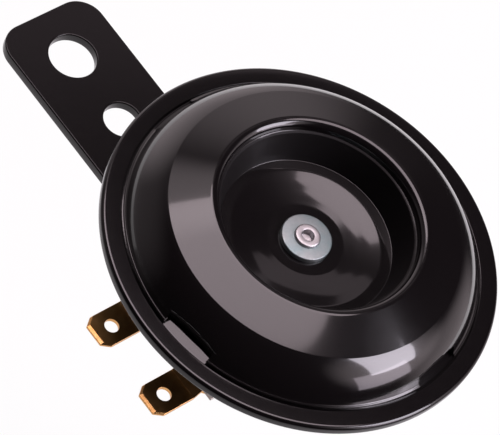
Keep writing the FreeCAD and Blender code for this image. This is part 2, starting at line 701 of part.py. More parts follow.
# Spade terminals, their insulating plates, rivets and lugs
def make_terminals():
    for number, sign in ((1, ""), (2, "-")):
        across = f"{sign}blade_pitch / 2"
        body = new_body(f"terminal_blade_{number}")
        miter = "blade_gauge * tan(22.5 deg)"
        joggle = "-blade_shoulder_reach + blade_drop"
        corners = [("-blade_reach", "blade_under"), (f"{miter} - blade_shoulder_reach", "blade_under"),
                   (f"{joggle} + {miter}", "root_under"), ("-blade_root_reach", "root_under"),
                   ("-blade_root_reach", "root_top"), (joggle, "root_top"),
                   ("-blade_shoulder_reach", "blade_top"), ("-blade_reach", "blade_top")]
        pad(body, f"strip_{number}", "XZ_Plane", corners, "blade_root_width", midplane=True)
        for side, way in (("near", ""), ("far", "-")):
            trim = sketch_in(body, f"trim_{side}_{number}", "XY_Plane")
            flank, wide = f"{way}blade_width / 2", f"{way}blade_root_width"
            nose = f"{way}(blade_width / 2 - blade_corner_width)"
            outside = "-blade_reach - blade_corner_length"
            draw_path(trim, [
                ("-blade_shoulder_reach", flank),
                ("blade_corner_length - blade_reach", flank),
                ("-blade_reach", nose), (outside, nose), (outside, wide),
                ("-blade_shoulder_reach", wide)])
            cut_through(body, f"trim_{side}_cut_{number}", trim)
        pierce(body, f"blade_holes_{number}", [
            ("-blade_hole_reach", "0", "blade_hole_radius"),
            ("-terminal_rivet_reach", "0", "terminal_rivet_radius")])
        tip = -value("blade_reach")
        at_tip = lambda edge: (abs(edge.BoundBox.XMin - tip) < 0.001
                               and edge.BoundBox.ZLength < 0.001)
        dress(body, "PartDesign::Chamfer", f"tip_bevel_{number}", at_tip,
              "Size", "blade_tip_bevel")
        seat(body, y=across)

        head = "terminal_rivet_head"
        foot = "root_under - terminal_rivet_cap"
        cap = "lug_top + terminal_rivet_cap"
        corners = [("0", foot), (head, foot), (head, "root_under"),
                   ("terminal_rivet_radius", "root_under"), ("terminal_rivet_radius", "lug_top"),
                   ("inner_rivet_head", "lug_top"), ("inner_rivet_head", cap), ("0", cap)]
        rounds = {1: "terminal_rivet_cap * 0.5", 6: "terminal_rivet_cap * 0.5"}
        seat(turned(f"terminal_rivet_{number}", corners, rounds),
             x="-terminal_rivet_reach", y=across)

        body = new_body(f"inner_lug_{number}")
        half_wide = "lug_width / 2"
        low, high = ("-lug_tab", "lug_margin") if number == 1 else ("-lug_margin", "lug_tab")
        pad(body, f"lug_{number}", "XY_Plane",
            [(f"-{half_wide}", low), (half_wide, low), (half_wide, high), (f"-{half_wide}", high)],
            "lug_gauge", dict.fromkeys(range(4), "lug_round"))
        pierce(body, f"lug_hole_{number}", [("0", "0", "terminal_rivet_radius")])
        seat(body, x="-terminal_rivet_reach", y=across, z="lug_under")

    body = new_body("terminal_insulator")
    pad(body, "outer_plate", "XY_Plane",
        [("-outer_plate_reach", "-outer_plate_half_width"),
         ("-outer_plate_root", "-outer_plate_half_width"),
         ("-outer_plate_root", "outer_plate_half_width"),
         ("-outer_plate_reach", "outer_plate_half_width")], "outer_plate_gauge")
    rivet_holes = [("-terminal_rivet_reach", "blade_pitch / 2", "terminal_rivet_radius"),
                   ("-terminal_rivet_reach", "-blade_pitch / 2", "terminal_rivet_radius")]
    pierce(body, "outer_plate_holes", rivet_holes)
    seat(body, z="root_top")

    body = turned("inner_insulator", [
        ("floor_start", "floor_height"), ("floor_end", "floor_height"),
        ("floor_end", "lug_under"), ("floor_start", "lug_under")], sweep="inner_plate_span")
    sketch = sketch_in(body, "inner_plate_holes_sketch", "XY_Plane")
    half_angle = "inner_plate_span / 2"
    for side, sign in (("left", "-"), ("right", "")):
        reach = "sqrt(terminal_rivet_reach ^ 2 + (blade_pitch / 2) ^ 2)"
        lean = f"{half_angle} * 1 deg {sign or '+'} atan(blade_pitch / 2 / terminal_rivet_reach)"
        draw_circle(sketch, f"hole_{side}", f"{reach} * cos({lean})", f"{reach} * sin({lean})",
                    "terminal_rivet_radius")
    cut_through(body, "inner_plate_holes", sketch)
    seat(body, turn="180 - inner_plate_span / 2")


# Contact breaker: the armature's flange presses the spring arm off the fixed contact
def make_contacts():
    half = "stack_width / 2"
    footprint = [("stack_root", f"-{half}"), ("stack_outer", f"-{half}"),
                 ("stack_outer", half), ("stack_root", half)]
    pins = [("stack_middle", "contact_rivet_pitch / 2", "contact_rivet_radius"),
            ("stack_middle", "-contact_rivet_pitch / 2", "contact_rivet_radius")]

    def plate(name, corners, gauge, level, rounds=None):
        body = new_body(name)
        pad(body, f"{name}_pad", "XY_Plane", corners, gauge, rounds)
        pierce(body, f"{name}_pins", pins)
        seat(body, z=level)

    plate("contact_base", footprint, "stack_base_height", "floor_height")
    arm_half = "arm_width / 2"
    plate("contact_arm", [
        ("arm_tip_reach", f"-{arm_half}"), ("stack_root", f"-{arm_half}"),
        ("stack_root", f"-{half} - arm_tail"), ("stack_middle", f"-{half} - arm_tail"),
        ("stack_middle", f"-{half}"), ("stack_outer", f"-{half}"), ("stack_outer", half),
        ("stack_root", half), ("stack_root", arm_half), ("arm_tip_reach", arm_half)],
        "arm_gauge", "arm_under", {0: "arm_width * 0.3", 9: "arm_width * 0.3"})
    plate("contact_spacer", footprint, "spacer_plate_gauge", "arm_top")
    plate_half = "plate_width / 2"
    plate("contact_plate", [
        ("plate_tip_reach", f"-{plate_half}"), ("stack_root", f"-{plate_half}"),
        ("stack_root", f"-{half}"), ("stack_outer", f"-{half}"), ("stack_outer", half),
        ("ear_outer", half), ("ear_outer", "ear_reach"), ("ear_inner", "ear_reach"),
        ("ear_inner", plate_half), ("plate_tip_reach", plate_half)],
        "plate_gauge", "plate_under", {0: "plate_round", 9: "plate_round"})

    moving_top = "plate_under - fixed_contact_gauge"
    for name, low, high in (("moving_contact", "arm_top", moving_top),
                            ("fixed_contact", moving_top, "plate_under")):
        corners = [("0", low), ("contact_radius", low), ("contact_radius", high), ("0", high)]
        seat(turned(name, corners), x="contact_reach")

    for number, sign in ((1, ""), (2, "-")):
        foot = "shoulder_height - contact_rivet_cap"
        cap = "plate_top + contact_rivet_cap"
        corners = [("0", foot), ("contact_rivet_head", foot),
                   ("contact_rivet_head", "shoulder_height"),
                   ("contact_rivet_radius", "shoulder_height"),
                   ("contact_rivet_radius", "plate_top"), ("contact_rivet_head", "plate_top"),
                   ("contact_rivet_head", cap), ("0", cap)]
        rounds = {1: "contact_rivet_cap * 0.5", 6: "contact_rivet_cap * 0.5"}
        seat(turned(f"contact_rivet_{number}", corners, rounds),
             x="stack_middle", y=f"{sign}contact_rivet_pitch / 2")


# Adjusting screw: it sets the fixed contact's height from outside
def make_adjuster():
    bore = "screw_radius + thread_clearance"
    foot = "shoulder_height - bush_flange_gauge"
    corners = [(bore, foot), ("bush_flange_radius", foot), ("bush_flange_radius", "shoulder_height"),
               ("bush_radius", "shoulder_height"), ("bush_radius", "floor_height + bush_proud"),
               (bore, "floor_height + bush_proud")]
    seat(turned("adjusting_bush", corners, {1: "bush_flange_gauge * 0.3"}),
         x="screw_x", y="screw_y")

    body = new_body("adjusting_screw")
    section = sketch_in(body, "screw_section", "XZ_Plane")
    foot = "shoulder_height - screw_proud"
    draw_path(section, [("0", foot), ("screw_radius", foot), ("screw_radius", "plate_under"),
                        ("0", "plate_under")])
    revolve(body, section)
    slot = sketch_in(body, "screw_slot", "XZ_Plane")
    half = "screw_slot_width / 2"
    draw_path(slot, [(f"-{half}", f"{foot} - screw_slot_depth"), (half, f"{foot} - screw_slot_depth"),
                     (half, f"{foot} + screw_slot_depth"), (f"-{half}", f"{foot} + screw_slot_depth")])
    cut_through(body, "screw_slot_cut", slot)
    seat(body, x="screw_x", y="screw_y")


# Leads: two short bridges from the coil, and one insulated loop along the housing's shoulder
def make_leads():
    def bridge(name, reach, start, turn):
        body = new_body(name)
        path = sketch_in(body, f"{name}_path", "XZ_Plane")
        top = "bobbin_top + lead_rise"
        draw_path(path, [(reach, start), (reach, top), ("lead_coil_reach", top),
                         ("lead_coil_reach", "bobbin_top")],
                  {1: "lead_bend", 2: "lead_bend"}, closed=False)
        wire = sketch_in(body, f"{name}_wire", "XY_Plane")
        wire.setExpression("AttachmentOffset.Base.z", bound(start))
        draw_circle(wire, "wire", reach, "0", "lead_radius")
        doc.recompute()
        pipe = body.newObject("PartDesign::AdditivePipe", f"{name}_pipe")
        pipe.Profile = (wire, [""])
        pipe.Spine = (path, [f"Edge{number + 1}" for number in range(len(path.Shape.Edges))])
        doc.recompute()
        seat(body, turn=turn)

    bridge("coil_lead_1", "lead_lug_reach", "lug_top",
           "180 deg + atan(lead_lug_y / terminal_rivet_reach)")
    bridge("coil_lead_2", "lead_arm_reach", "arm_top", "-atan(lead_arm_y / lead_arm_x)")

    loop_start = "asin((ear_reach - loop_ear_margin) / loop_radius)"
    sweep = f"180 deg - {loop_start} - asin(lead_lug_y / loop_radius)"
    body = new_body("loop_arc")
    sketch = sketch_in(body, "loop_section", "XZ_Plane")
    draw_circle(sketch, "wire", "loop_radius", "loop_level", "lead_radius")
    revolve(body, sketch, sweep)
    riser = cutter("loop_riser", "loop_radius", "0", "lead_radius", "loop_level", "plate_under")
    knuckle = doc.addObject("Part::Sphere", "loop_knuckle")
    knuckle.setExpression("Radius", bound("lead_radius"))
    knuckle.setExpression("Placement.Base.x", bound("loop_radius"))
    knuckle.setExpression("Placement.Base.z", bound("loop_level"))
    loop = doc.addObject("Part::MultiFuse", "loop_lead")
    loop.Shapes = [body, riser, knuckle]
    doc.recompute()
    seat(loop, turn=loop_start)


make_bracket()
make_housing()
make_rim()
make_tone_disc()
make_stud_stack()
make_magnet()
make_fasteners()
make_terminals()
make_contacts()
make_adjuster()
make_leads()
doc.recompute()

# Every feature has to be sound before anything is written
for item in doc.Objects:
    if {"Invalid", "Error"} & set(item.State):
        raise RuntimeError(f"{item.Name} failed: {item.State}")
for piece in part_nodes:
    shape = piece.Shape
    if shape.isNull() or not shape.isValid() or len(shape.Solids) != 1:
        raise RuntimeError(f"{piece.Label} is not one sound solid")

os.makedirs("parts", exist_ok=True)
for piece in part_nodes:
    piece.Shape.exportStep(f"parts/{piece.Label}.step")
    box = piece.Shape.BoundBox
    print(f"{piece.Label:20s} {piece.Shape.Volume:10.2f} mm3  "
          f"x {box.XMin:7.2f} {box.XMax:7.2f}  y {box.YMin:7.2f} {box.YMax:7.2f}  "
          f"z {box.ZMin:7.2f} {box.ZMax:7.2f}")
print(len(part_nodes), "pieces")
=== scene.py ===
# %% [markdown]
# # A compact electric disc horn
# The object is the small black horn that sits behind a car's grille. A thin steel diaphragm is
# clamped in a crimped rim and a magnet inside the housing makes it hum. A bell shaped tone disc
# rides on the diaphragm and gives the sound its edge. A flat strip holds the horn by one bolt.
#
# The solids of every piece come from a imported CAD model, so sizes and places are settled.
# This lesson builds the skins that the eye sees: smooth spun sheet metal, stamped strips,
# plated washers and brass blades, each with its own finish.

import math

import bmesh
import bpy
from mathutils import Matrix, Vector


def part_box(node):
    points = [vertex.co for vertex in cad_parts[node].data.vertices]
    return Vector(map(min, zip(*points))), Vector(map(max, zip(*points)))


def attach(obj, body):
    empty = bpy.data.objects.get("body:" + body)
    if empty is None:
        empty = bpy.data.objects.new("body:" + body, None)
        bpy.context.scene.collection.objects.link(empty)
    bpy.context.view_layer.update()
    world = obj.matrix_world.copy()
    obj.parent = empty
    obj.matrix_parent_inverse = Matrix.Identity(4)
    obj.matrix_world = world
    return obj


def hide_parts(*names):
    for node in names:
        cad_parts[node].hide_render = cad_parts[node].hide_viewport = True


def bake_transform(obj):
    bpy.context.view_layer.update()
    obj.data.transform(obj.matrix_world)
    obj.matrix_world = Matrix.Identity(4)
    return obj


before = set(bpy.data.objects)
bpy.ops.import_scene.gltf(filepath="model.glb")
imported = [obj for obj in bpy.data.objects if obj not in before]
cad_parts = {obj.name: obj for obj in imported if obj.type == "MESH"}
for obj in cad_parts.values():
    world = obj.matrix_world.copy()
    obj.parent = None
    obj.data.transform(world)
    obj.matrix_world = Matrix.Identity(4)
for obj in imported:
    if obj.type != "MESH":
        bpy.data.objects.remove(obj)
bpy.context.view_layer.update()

# %% [markdown]
# ## Where things stand
# Everything is drawn in millimetres about the horn's own axis, with zero on the rear face of the
# housing, because that is how such a horn is dimensioned on paper. One matrix then carries a
# finished mesh to the shared frame, which is in metres and starts at the bracket's bolt hole.

# %% The horn's own frame
BOLT_REACH = 57.2
BRACKET_GAUGE = 2.0
AXIS_Y = -0.001 * BOLT_REACH  # the horn's axis in the shared frame, so in metres
TO_FRAME = Matrix.Scale(0.001, 4) @ Matrix.Translation((0, -BOLT_REACH, BRACKET_GAUGE / 2))
RIM_TOP = 20.0
print("horn axis at y =", -BOLT_REACH, "mm, rim top at z =", RIM_TOP + BRACKET_GAUGE / 2, "mm")

# %% [markdown]
# ## The camera
# The photograph looks down on the horn from about 52 degrees above the rim, with a long lens.
# Its place was found by fitting the rim, the holes and the terminals in perspective, so the same
# numbers are typed here and nothing is judged by eye.

# %% Camera
camera_data = bpy.data.cameras.new("camera")
camera_data.lens = 281.2
camera_data.sensor_width = 36.0
camera_data.clip_start = 0.01
camera_data.clip_end = 20.0
camera = bpy.data.objects.new("camera", camera_data)
bpy.context.scene.collection.objects.link(camera)
looks_along = Vector((0.5556, 0.2517, -0.7924)).normalized()
upwards = Vector((0.3909, 0.7620, 0.5162))
sideways = looks_along.cross(upwards).normalized()
upwards = sideways.cross(looks_along)
camera.matrix_world = Matrix((
    (sideways.x, upwards.x, -looks_along.x, -0.3756),
    (sideways.y, upwards.y, -looks_along.y, -0.2164),
    (sideways.z, upwards.z, -looks_along.z, 0.5490),
    (0, 0, 0, 1)))
bpy.context.scene.camera = camera
print("camera stands", round(camera.location.length, 3), "m from the bolt hole")

# %% [markdown]
# ## One way to add nodes
# Both the shapes and the finishes are node trees. One small class adds a node of any type, sets
# its settings first, because some sockets only appear after that, and then fills its sockets with
# numbers or links. A second class wraps a socket, so that shader maths reads like ordinary maths.

# %% Node helper
class Tree:
    """Adds nodes: a type, its settings, and the values or links of its sockets."""

    def __init__(self, tree):
        self.tree = tree
        self.count = 0

    def plug(self, socket, given):
        """Link a socket to what varies, or type a number or colour into it."""
        given = given.socket if isinstance(given, Value) else given
        if isinstance(given, bpy.types.NodeSocket):
            self.tree.links.new(given, socket)
        else:
            socket.default_value = given

    def add(self, kind, settings=None, sockets=None, out=0):
        node = self.tree.nodes.new(kind)
        node.location = (200 * (self.count % 12), -220 * (self.count // 12))
        self.count += 1
        for name, setting in (settings or {}).items():
            setattr(node, name, setting)
        for name, given in (sockets or {}).items():
            self.plug(node.inputs[name], given)
        return node if out is None else node.outputs[out]


class Value:
    """A number that varies over a surface. Python's operators add the Math nodes."""

    def __init__(self, tree, socket):
        self.tree = tree
        self.socket = socket

    def math(self, operation, *others):
        numbers = dict(enumerate([self, *others]))
        return Value(self.tree, self.tree.add(
            "ShaderNodeMath", {"operation": operation}, numbers))

    def flipped(self, operation, other):
        return Value(self.tree, self.tree.add(
            "ShaderNodeMath", {"operation": operation}, {0: other, 1: self}))

    def __add__(self, other):
        return self.math("ADD", other)

    def __radd__(self, other):
        return self.flipped("ADD", other)

    def __sub__(self, other):
        return self.math("SUBTRACT", other)

    def __rsub__(self, other):
        return self.flipped("SUBTRACT", other)

    def __mul__(self, other):
        return self.math("MULTIPLY", other)

    def __rmul__(self, other):
        return self.flipped("MULTIPLY", other)

    def ramp(self, low, high):
        """Zero below low, one above high, smooth between them."""
        return Value(self.tree, self.tree.add(
            "ShaderNodeMapRange", {"interpolation_type": "SMOOTHSTEP"},
            {"Value": self, "From Min": low, "From Max": high}))


print("helpers ready: Tree and Value")

# %% [markdown]
# ## Finishes: the shared start of each
# A finish starts from one Principled shader. What is the same all over is typed on the shader's
# own sockets. What changes over the surface comes from noise in object coordinates, which are
# metres here, so a noise scale of 1000 gives grains of a millimetre.

# %% Finish helper
class Finish(Tree):
    """A material with a Principled shader, measured in object coordinates."""

    def __init__(self, name, **constants):
        self.material = bpy.data.materials.new(name)
        self.material.use_nodes = True
        super().__init__(self.material.node_tree)
        self.tree.nodes.clear()
        self.shader = self.add("ShaderNodeBsdfPrincipled", out=None)
        output = self.add("ShaderNodeOutputMaterial", out=None)
        self.tree.links.new(self.shader.outputs[0], output.inputs["Surface"])
        for label, number in constants.items():
            self.feed(label.replace("_", " "), number)
        self.place = self.add("ShaderNodeTexCoord", out="Object")

    def feed(self, label, given):
        """Give one of the shader's sockets its number or its link."""
        self.plug(self.shader.inputs[label], given)

    def noise(self, scale, detail, roughness, seed):
        """Cloudy numbers between 0 and 1. Each seed gives other clouds."""
        return Value(self, self.add(
            "ShaderNodeTexNoise", {"noise_dimensions": "4D"},
            {"Vector": self.place, "W": seed, "Scale": scale,
             "Detail": detail, "Roughness": roughness}))

    def blend(self, share, first, second, mode="MIX"):
        """Mix two colours by a number. Sockets 6 and 7 are the node's two colours."""
        return self.add("ShaderNodeMix", {"data_type": "RGBA", "blend_type": mode},
                        {"Factor": share, 6: first, 7: second}, out=2)

    def bump(self, height, strength, distance):
        """Small relief. The distance is in metres."""
        normal = self.add("ShaderNodeBump", None, {
            "Height": height, "Strength": strength, "Distance": distance})
        self.feed("Normal", normal)


print("finish helper ready")

# %% [markdown]
# ## Gloss black enamel
# The housing, rim and tone disc are dipped or sprayed with black enamel and stoved. It is a deep
# black with a hard, clear skin, and what the eye sees is almost only the studio in it. The skin
# isn't perfectly flat: sprayed enamel has a faint orange peel a millimetre or two across, which
# softens the edges of every reflection. So the finish is a black base under a clear coat, and the
# relief is kept tiny. On the steep wall of the tone disc's bowl the clear skin is mostly taken off
# and the base is made rougher, so that the wall mirrors almost nothing: this is painted shade for
# the dark inside of the bowl. On the rim's outer wall the skin is thinned too, as painted shade, so
# that the wall mirrors little of the white paper below. Both places are rings about the horn's
# axis, so the distance from the axis picks them out.

# %% Gloss black enamel
BOWL_WALL_INNER, BOWL_WALL_OUTER = (0.0155, 0.0157), (0.0176, 0.0180)
RIM_WALL = (0.0355, 0.0359)
# How much of the clear skin is taken off, as painted shade, in the bowl and on the rim's outer
# wall.
SKIN_CUT_FOR_BOWL_SHADE, SKIN_CUT_FOR_RIM_SHADE = 0.97, 0.75
DULLER_IN_BOWL = 0.35


def make_enamel(name, level, roughness, coat_roughness, peel):
    """Black enamel: how light its base is, how rough base and skin are, and its relief."""
    finish = Finish(name, IOR=1.5, Specular_IOR_Level=0.2, Coat_IOR=1.5,
                    Coat_Roughness=coat_roughness)
    cloud = finish.noise(90.0, 2.0, 0.5, seed=2.0)
    darker = (level * 0.85, level * 0.66, level * 0.74, 1)
    lighter = (level * 1.15, level * 0.92, level, 1)
    finish.feed("Base Color", finish.blend(cloud, darker, lighter))
    grain = 0.85 + 0.3 * finish.noise(600.0, 3.0, 0.6, seed=5.0)
    finish.bump(finish.noise(420.0, 2.0, 0.45, seed=7.0), 0.35, peel)
    flat = finish.add("ShaderNodeMapping", None, {
        "Vector": finish.place, "Location": (0, -AXIS_Y, 0), "Scale": (1, 1, 0)})
    radius = Value(finish, finish.add(
        "ShaderNodeVectorMath", {"operation": "LENGTH"}, {0: flat}, out="Value"))
    bowl_wall = radius.ramp(*BOWL_WALL_INNER) * (1.0 - radius.ramp(*BOWL_WALL_OUTER))
    rim_wall = radius.ramp(*RIM_WALL)
    # Less clear skin on the bowl's wall and on the rim's outer wall dims their reflections: painted
    # shade.
    finish.feed("Coat Weight", 1.0 - SKIN_CUT_FOR_BOWL_SHADE * bowl_wall - SKIN_CUT_FOR_RIM_SHADE * rim_wall)
    finish.feed("Roughness", roughness * grain + DULLER_IN_BOWL * bowl_wall)
    return finish.material


ENAMEL = make_enamel("gloss_black_enamel", level=0.004, roughness=0.19, coat_roughness=0.06,
                     peel=0.000010)
print("made", ENAMEL.name)

# %% [markdown]
# ## Satin black for the strip
# The bracket is painted apart from the horn, with a thinner paint. It shows the studio only as an
# even dark grey, so it gets no clear skin, and its one layer mirrors a little less than varnish.

# %% Satin black paint
def make_strip_paint():
    finish = Finish("satin_black_paint", IOR=1.5, Specular_IOR_Level=0.36)
    mottle = finish.noise(150.0, 4.0, 0.6, seed=1.0)
    finish.feed("Base Color", finish.blend(
        mottle, (0.005, 0.004, 0.0042, 1), (0.008, 0.0066, 0.0070, 1)))
    finish.feed("Roughness", 0.13 + 0.06 * finish.noise(900.0, 3.0, 0.6, seed=3.0))
    finish.bump(finish.noise(1100.0, 3.0, 0.5, seed=4.0), 0.3, 0.00002)
    return finish.material


STRIP_PAINT = make_strip_paint()
print("made", STRIP_PAINT.name)

# %% [markdown]
# ## Plated and bare steel
# Washers, nut and lock washer are bright zinc plated: silver with a faint blue and green bloom and
# a fine, uneven grain from the plating barrel. The stud's peened head is bare turned steel, a
# little warmer. One maker gives them all, brass and bronze too, because only colours and grain
# sizes differ. It blends two colours in soft patches, and the grain darkens and dulls both.

# %% Plated and turned metal
def make_metal(name, low, high, roughness, grain, relief, patch=160.0):
    finish = Finish(name, Metallic=1.0)
    bloom = finish.noise(patch, 3.0, 0.55, seed=1.5).ramp(0.3, 0.7)
    fine = finish.noise(grain, 4.0, 0.65, seed=6.0)
    colour = finish.blend(bloom, low, high)
    finish.feed("Base Color", finish.blend(0.25 * fine, colour, (0.25, 0.25, 0.25, 1), "MULTIPLY"))
    finish.feed("Roughness", roughness * (0.7 + 0.6 * fine))
    finish.bump(fine, 0.3, relief)
    return finish.material


ZINC = make_metal("zinc_plate", (0.25, 0.36, 0.37, 1), (0.40, 0.43, 0.43, 1),
                  roughness=0.50, grain=1800.0, relief=0.00002)
STEEL = make_metal("turned_steel", (0.52, 0.50, 0.51, 1), (0.64, 0.63, 0.64, 1),
                   roughness=0.42, grain=2400.0, relief=0.00001)
BRASS = make_metal("rolled_brass", (0.62, 0.33, 0.11, 1), (0.78, 0.45, 0.18, 1),
                   roughness=0.31, grain=1500.0, relief=0.00001, patch=420.0)
BRONZE = make_metal("rolled_bronze", (0.55, 0.30, 0.16, 1), (0.72, 0.44, 0.24, 1),
                    roughness=0.3, grain=1500.0, relief=0.00001)
CONTACT = make_metal("contact_silver", (0.70, 0.70, 0.72, 1), (0.82, 0.82, 0.84, 1),
                     roughness=0.2, grain=2000.0, relief=0.00001)
print("made", ZINC.name, STEEL.name, BRASS.name, BRONZE.name, CONTACT.name)

# %% [markdown]
# ## Board, plastic, copper, paper and sleeve
# The rest is out of sight or nearly so: a pressed fibre board under the terminals, the coil's
# bobbin and wire, a paper gasket and a varnished sleeve on one lead.

# %% Plain finishes
def make_plain(name, first, second, roughness, grain, relief):
    finish = Finish(name)
    fine = finish.noise(grain, 4.0, 0.6, seed=2.5)
    finish.feed("Base Color", finish.blend(fine, first, second))
    finish.feed("Roughness", roughness * (0.85 + 0.3 * fine))
    finish.bump(fine, 0.4, relief)
    return finish.material


def make_winding():
    """Turns of lacquered wire, one every 0.65 mm along the axis."""
    finish = Finish("enamelled_copper", Metallic=0.85, Coat_Weight=0.6, Coat_Roughness=0.15)
    wave = finish.add("ShaderNodeTexWave", {"bands_direction": "Z"}, {
        "Vector": finish.place, "Scale": 480.0, "Distortion": 0.6, "Detail": 1.0,
        "Detail Scale": 0.4}, out=1)
    turns = Value(finish, wave)
    finish.feed("Base Color", finish.blend(turns, (0.20, 0.06, 0.03, 1), (0.62, 0.24, 0.11, 1)))
    finish.feed("Roughness", 0.42 - 0.14 * turns)
    finish.bump(turns, 0.6, 0.00012)
    return finish.material


BOARD = make_plain("fibre_board", (0.74, 0.69, 0.62, 1), (0.84, 0.79, 0.70, 1),
                   roughness=0.62, grain=1400.0, relief=0.00004)
PLASTIC = make_plain("moulded_plastic", (0.020, 0.020, 0.020, 1), (0.030, 0.030, 0.030, 1),
                     roughness=0.42, grain=1600.0, relief=0.00002)
PAPER = make_plain("oiled_paper", (0.12, 0.09, 0.06, 1), (0.19, 0.15, 0.10, 1),
                   roughness=0.7, grain=1200.0, relief=0.00005)
SLEEVE = make_plain("varnished_sleeve", (0.06, 0.012, 0.012, 1), (0.10, 0.020, 0.018, 1),
                    roughness=0.4, grain=1500.0, relief=0.00003)
COPPER = make_winding()
print("made", BOARD.name, PLASTIC.name, PAPER.name, SLEEVE.name, COPPER.name)

# %% [markdown]
# ## Sheet metal as a section
# A pressing is a flat blank drawn over a tool, so its wall keeps one gauge and its bends are arcs
# about a common centre. On paper it is one line with a bend radius at each corner. The second skin
# is that line moved by the gauge: an arc that bends away from it grows by the gauge, and one that
# bends towards it shrinks. The two ends of the sheet get a small hem, as a sheared edge has.

# %% Section of a pressing
def moved_line(path, shift):
    """The corners of a path moved sideways, with their bends changed to match."""
    points = [Vector((radius, height)) for radius, height, bend in path]
    runs = [(b - a).normalized() for a, b in zip(points, points[1:])]
    moved = []
    for index, (point, (_, _, bend)) in enumerate(zip(points, path)):
        before = runs[max(index - 1, 0)]
        after = runs[min(index, len(runs) - 1)]
        side = Vector((-before.y, before.x)) + Vector((-after.y, after.x))
        step = side * (2 * shift / side.length_squared)
        turn = before.x * after.y - before.y * after.x
        new_bend = bend - shift * math.copysign(1, turn) if bend else 0.0
        moved.append((point.x + step.x, point.y + step.y, max(new_bend, 0.0)))
    return moved


def sheet_section(path, shift, hem):
    """A closed section: the shown line, the moved line back again, and hemmed ends."""
    under = moved_line(path, shift)
    loop = [*path, *reversed(under)]
    ends = {0, len(path) - 1, len(path), len(loop) - 1}
    return [(r, z, hem if index in ends else bend) for index, (r, z, bend) in enumerate(loop)]


print("a 1 mm sheet with a 2 mm bend:", sheet_section([(0, 0, 0), (5, 0, 2), (5, 5, 0)], 1.0, 0.1))

# %% [markdown]
# ## What the trees share
# Three Geometry Nodes trees shape this horn: one spins a section, one cuts notches and one stamps
# a plate. Each has named inputs for its sizes and ends in plain geometry with one finish. Two of
# them start from corner points that carry their own bend, so rounding corners is shared too.

# %% Tree helpers
WELD = 0.002  # mm: points that are nearer than this become one


def new_tree(name, sockets):
    """An empty geometry tree with named inputs."""
    tree = bpy.data.node_groups.new(name, "GeometryNodeTree")
    tree.interface.new_socket("Geometry", in_out="INPUT", socket_type="NodeSocketGeometry")
    for label, kind, default in sockets:
        socket = tree.interface.new_socket(label, in_out="INPUT", socket_type=kind)
        if default is not None:
            socket.default_value = default
    tree.interface.new_socket("Geometry", in_out="OUTPUT", socket_type="NodeSocketGeometry")
    add = Tree(tree)
    return tree, add, add.add("NodeGroupInput", out=None)


def finish_tree(add, geometry, given):
    """Plain mesh out, in one finish."""
    real = add.add("GeometryNodeRealizeInstances", None, {"Geometry": geometry})
    painted = add.add("GeometryNodeSetMaterial", None, {
        "Geometry": real, "Material": given.outputs["Finish"]})
    add.add("NodeGroupOutput", None, {"Geometry": painted}, out=None)


def joined(add, *pieces):
    """Several geometries as one."""
    whole = add.add("GeometryNodeJoinGeometry", out=None)
    for piece in pieces:
        add.tree.links.new(piece, whole.inputs[0])
    return whole.outputs[0]


def stored(add, name, kind):
    """What the corners carry under a name."""
    return add.add("GeometryNodeInputNamedAttribute", {"data_type": kind}, {"Name": name})


def rounded_curve(add, geometry):
    """Turn corner edges into a curve and round its corners by the bend stored on each."""
    curve = add.add("GeometryNodeMeshToCurve", None, {"Mesh": geometry})
    bend = stored(add, "bend", "FLOAT")
    steps = stored(add, "steps", "INT")
    return add.add("GeometryNodeFilletCurve", {"mode": "POLY"}, {
        "Curve": curve, "Radius": bend, "Count": steps})


print("tree helpers ready")

# %% [markdown]
# ## The spinning tree
# Housing, rim, diaphragm, tone disc and washers are all turned about one axis, so one tree makes
# them all. It rounds the section's corners by the bend stored on each, carries the section round
# a circle, closes the poles and gives the finish. Curve to Mesh lays the section's X outwards from
# the rail and its Y downwards, so the section is turned to suit first.

# %% Geometry Nodes: spin a section
RAIL_RADIUS = 10.0
FULL_TURN = 256  # faces round a piece


def make_spin_tree():
    tree, add, given = new_tree("spin a section", [
        ("Turns", "NodeSocketInt", FULL_TURN), ("Finish", "NodeSocketMaterial", None)])
    section = rounded_curve(add, given.outputs["Geometry"])
    place = add.add("GeometryNodeInputPosition")
    parts = add.add("ShaderNodeSeparateXYZ", None, {0: place}, out=None)
    outward = add.add("ShaderNodeMath", {"operation": "SUBTRACT"}, {
        0: parts.outputs["X"], 1: RAIL_RADIUS})
    downward = add.add("ShaderNodeMath", {"operation": "MULTIPLY"}, {
        0: parts.outputs["Z"], 1: -1.0})
    laid = add.add("ShaderNodeCombineXYZ", None, {0: outward, 1: downward})
    section = add.add("GeometryNodeSetPosition", None, {"Geometry": section, "Position": laid})
    rail = add.add("GeometryNodeCurvePrimitiveCircle", None, {
        "Resolution": given.outputs["Turns"], "Radius": RAIL_RADIUS})
    skin = add.add("GeometryNodeCurveToMesh", None, {"Curve": rail, "Profile Curve": section})
    closed = add.add("GeometryNodeMergeByDistance", None, {"Geometry": skin, "Distance": WELD})
    finish_tree(add, closed, given)
    return tree


SPIN = make_spin_tree()
print("tree:", SPIN.name, "with", len(SPIN.nodes), "nodes")

# %% [markdown]
# ## From a tree to a plain mesh
# A section is handed to the tree as corner points joined by edges, each with its bend and with
# the steps that the bend gets. The tree is run once, and its result becomes a plain mesh, still
# in millimetres.

# %% Run a tree
def bend_steps(bend):
    """How many steps round a bend: more for a wider one, and none for a plain corner."""
    return 0 if bend == 0 else max(3, min(24, int(4 + 2.5 * bend)))


def section_object(name, loop, closed=True):
    """Corner points with their bends, joined by edges, in the XZ plane."""
    mesh = bpy.data.meshes.new(name)
    count = len(loop)
    edges = [(index, (index + 1) % count) for index in range(count if closed else count - 1)]
    mesh.from_pydata([(r, 0, z) for r, z, bend in loop], edges, [])
    bends = mesh.attributes.new("bend", "FLOAT", "POINT")
    steps = mesh.attributes.new("steps", "INT", "POINT")
    for index, (r, z, bend) in enumerate(loop):
        bends.data[index].value = bend
        steps.data[index].value = bend_steps(bend)
    return bpy.data.objects.new(name, mesh)


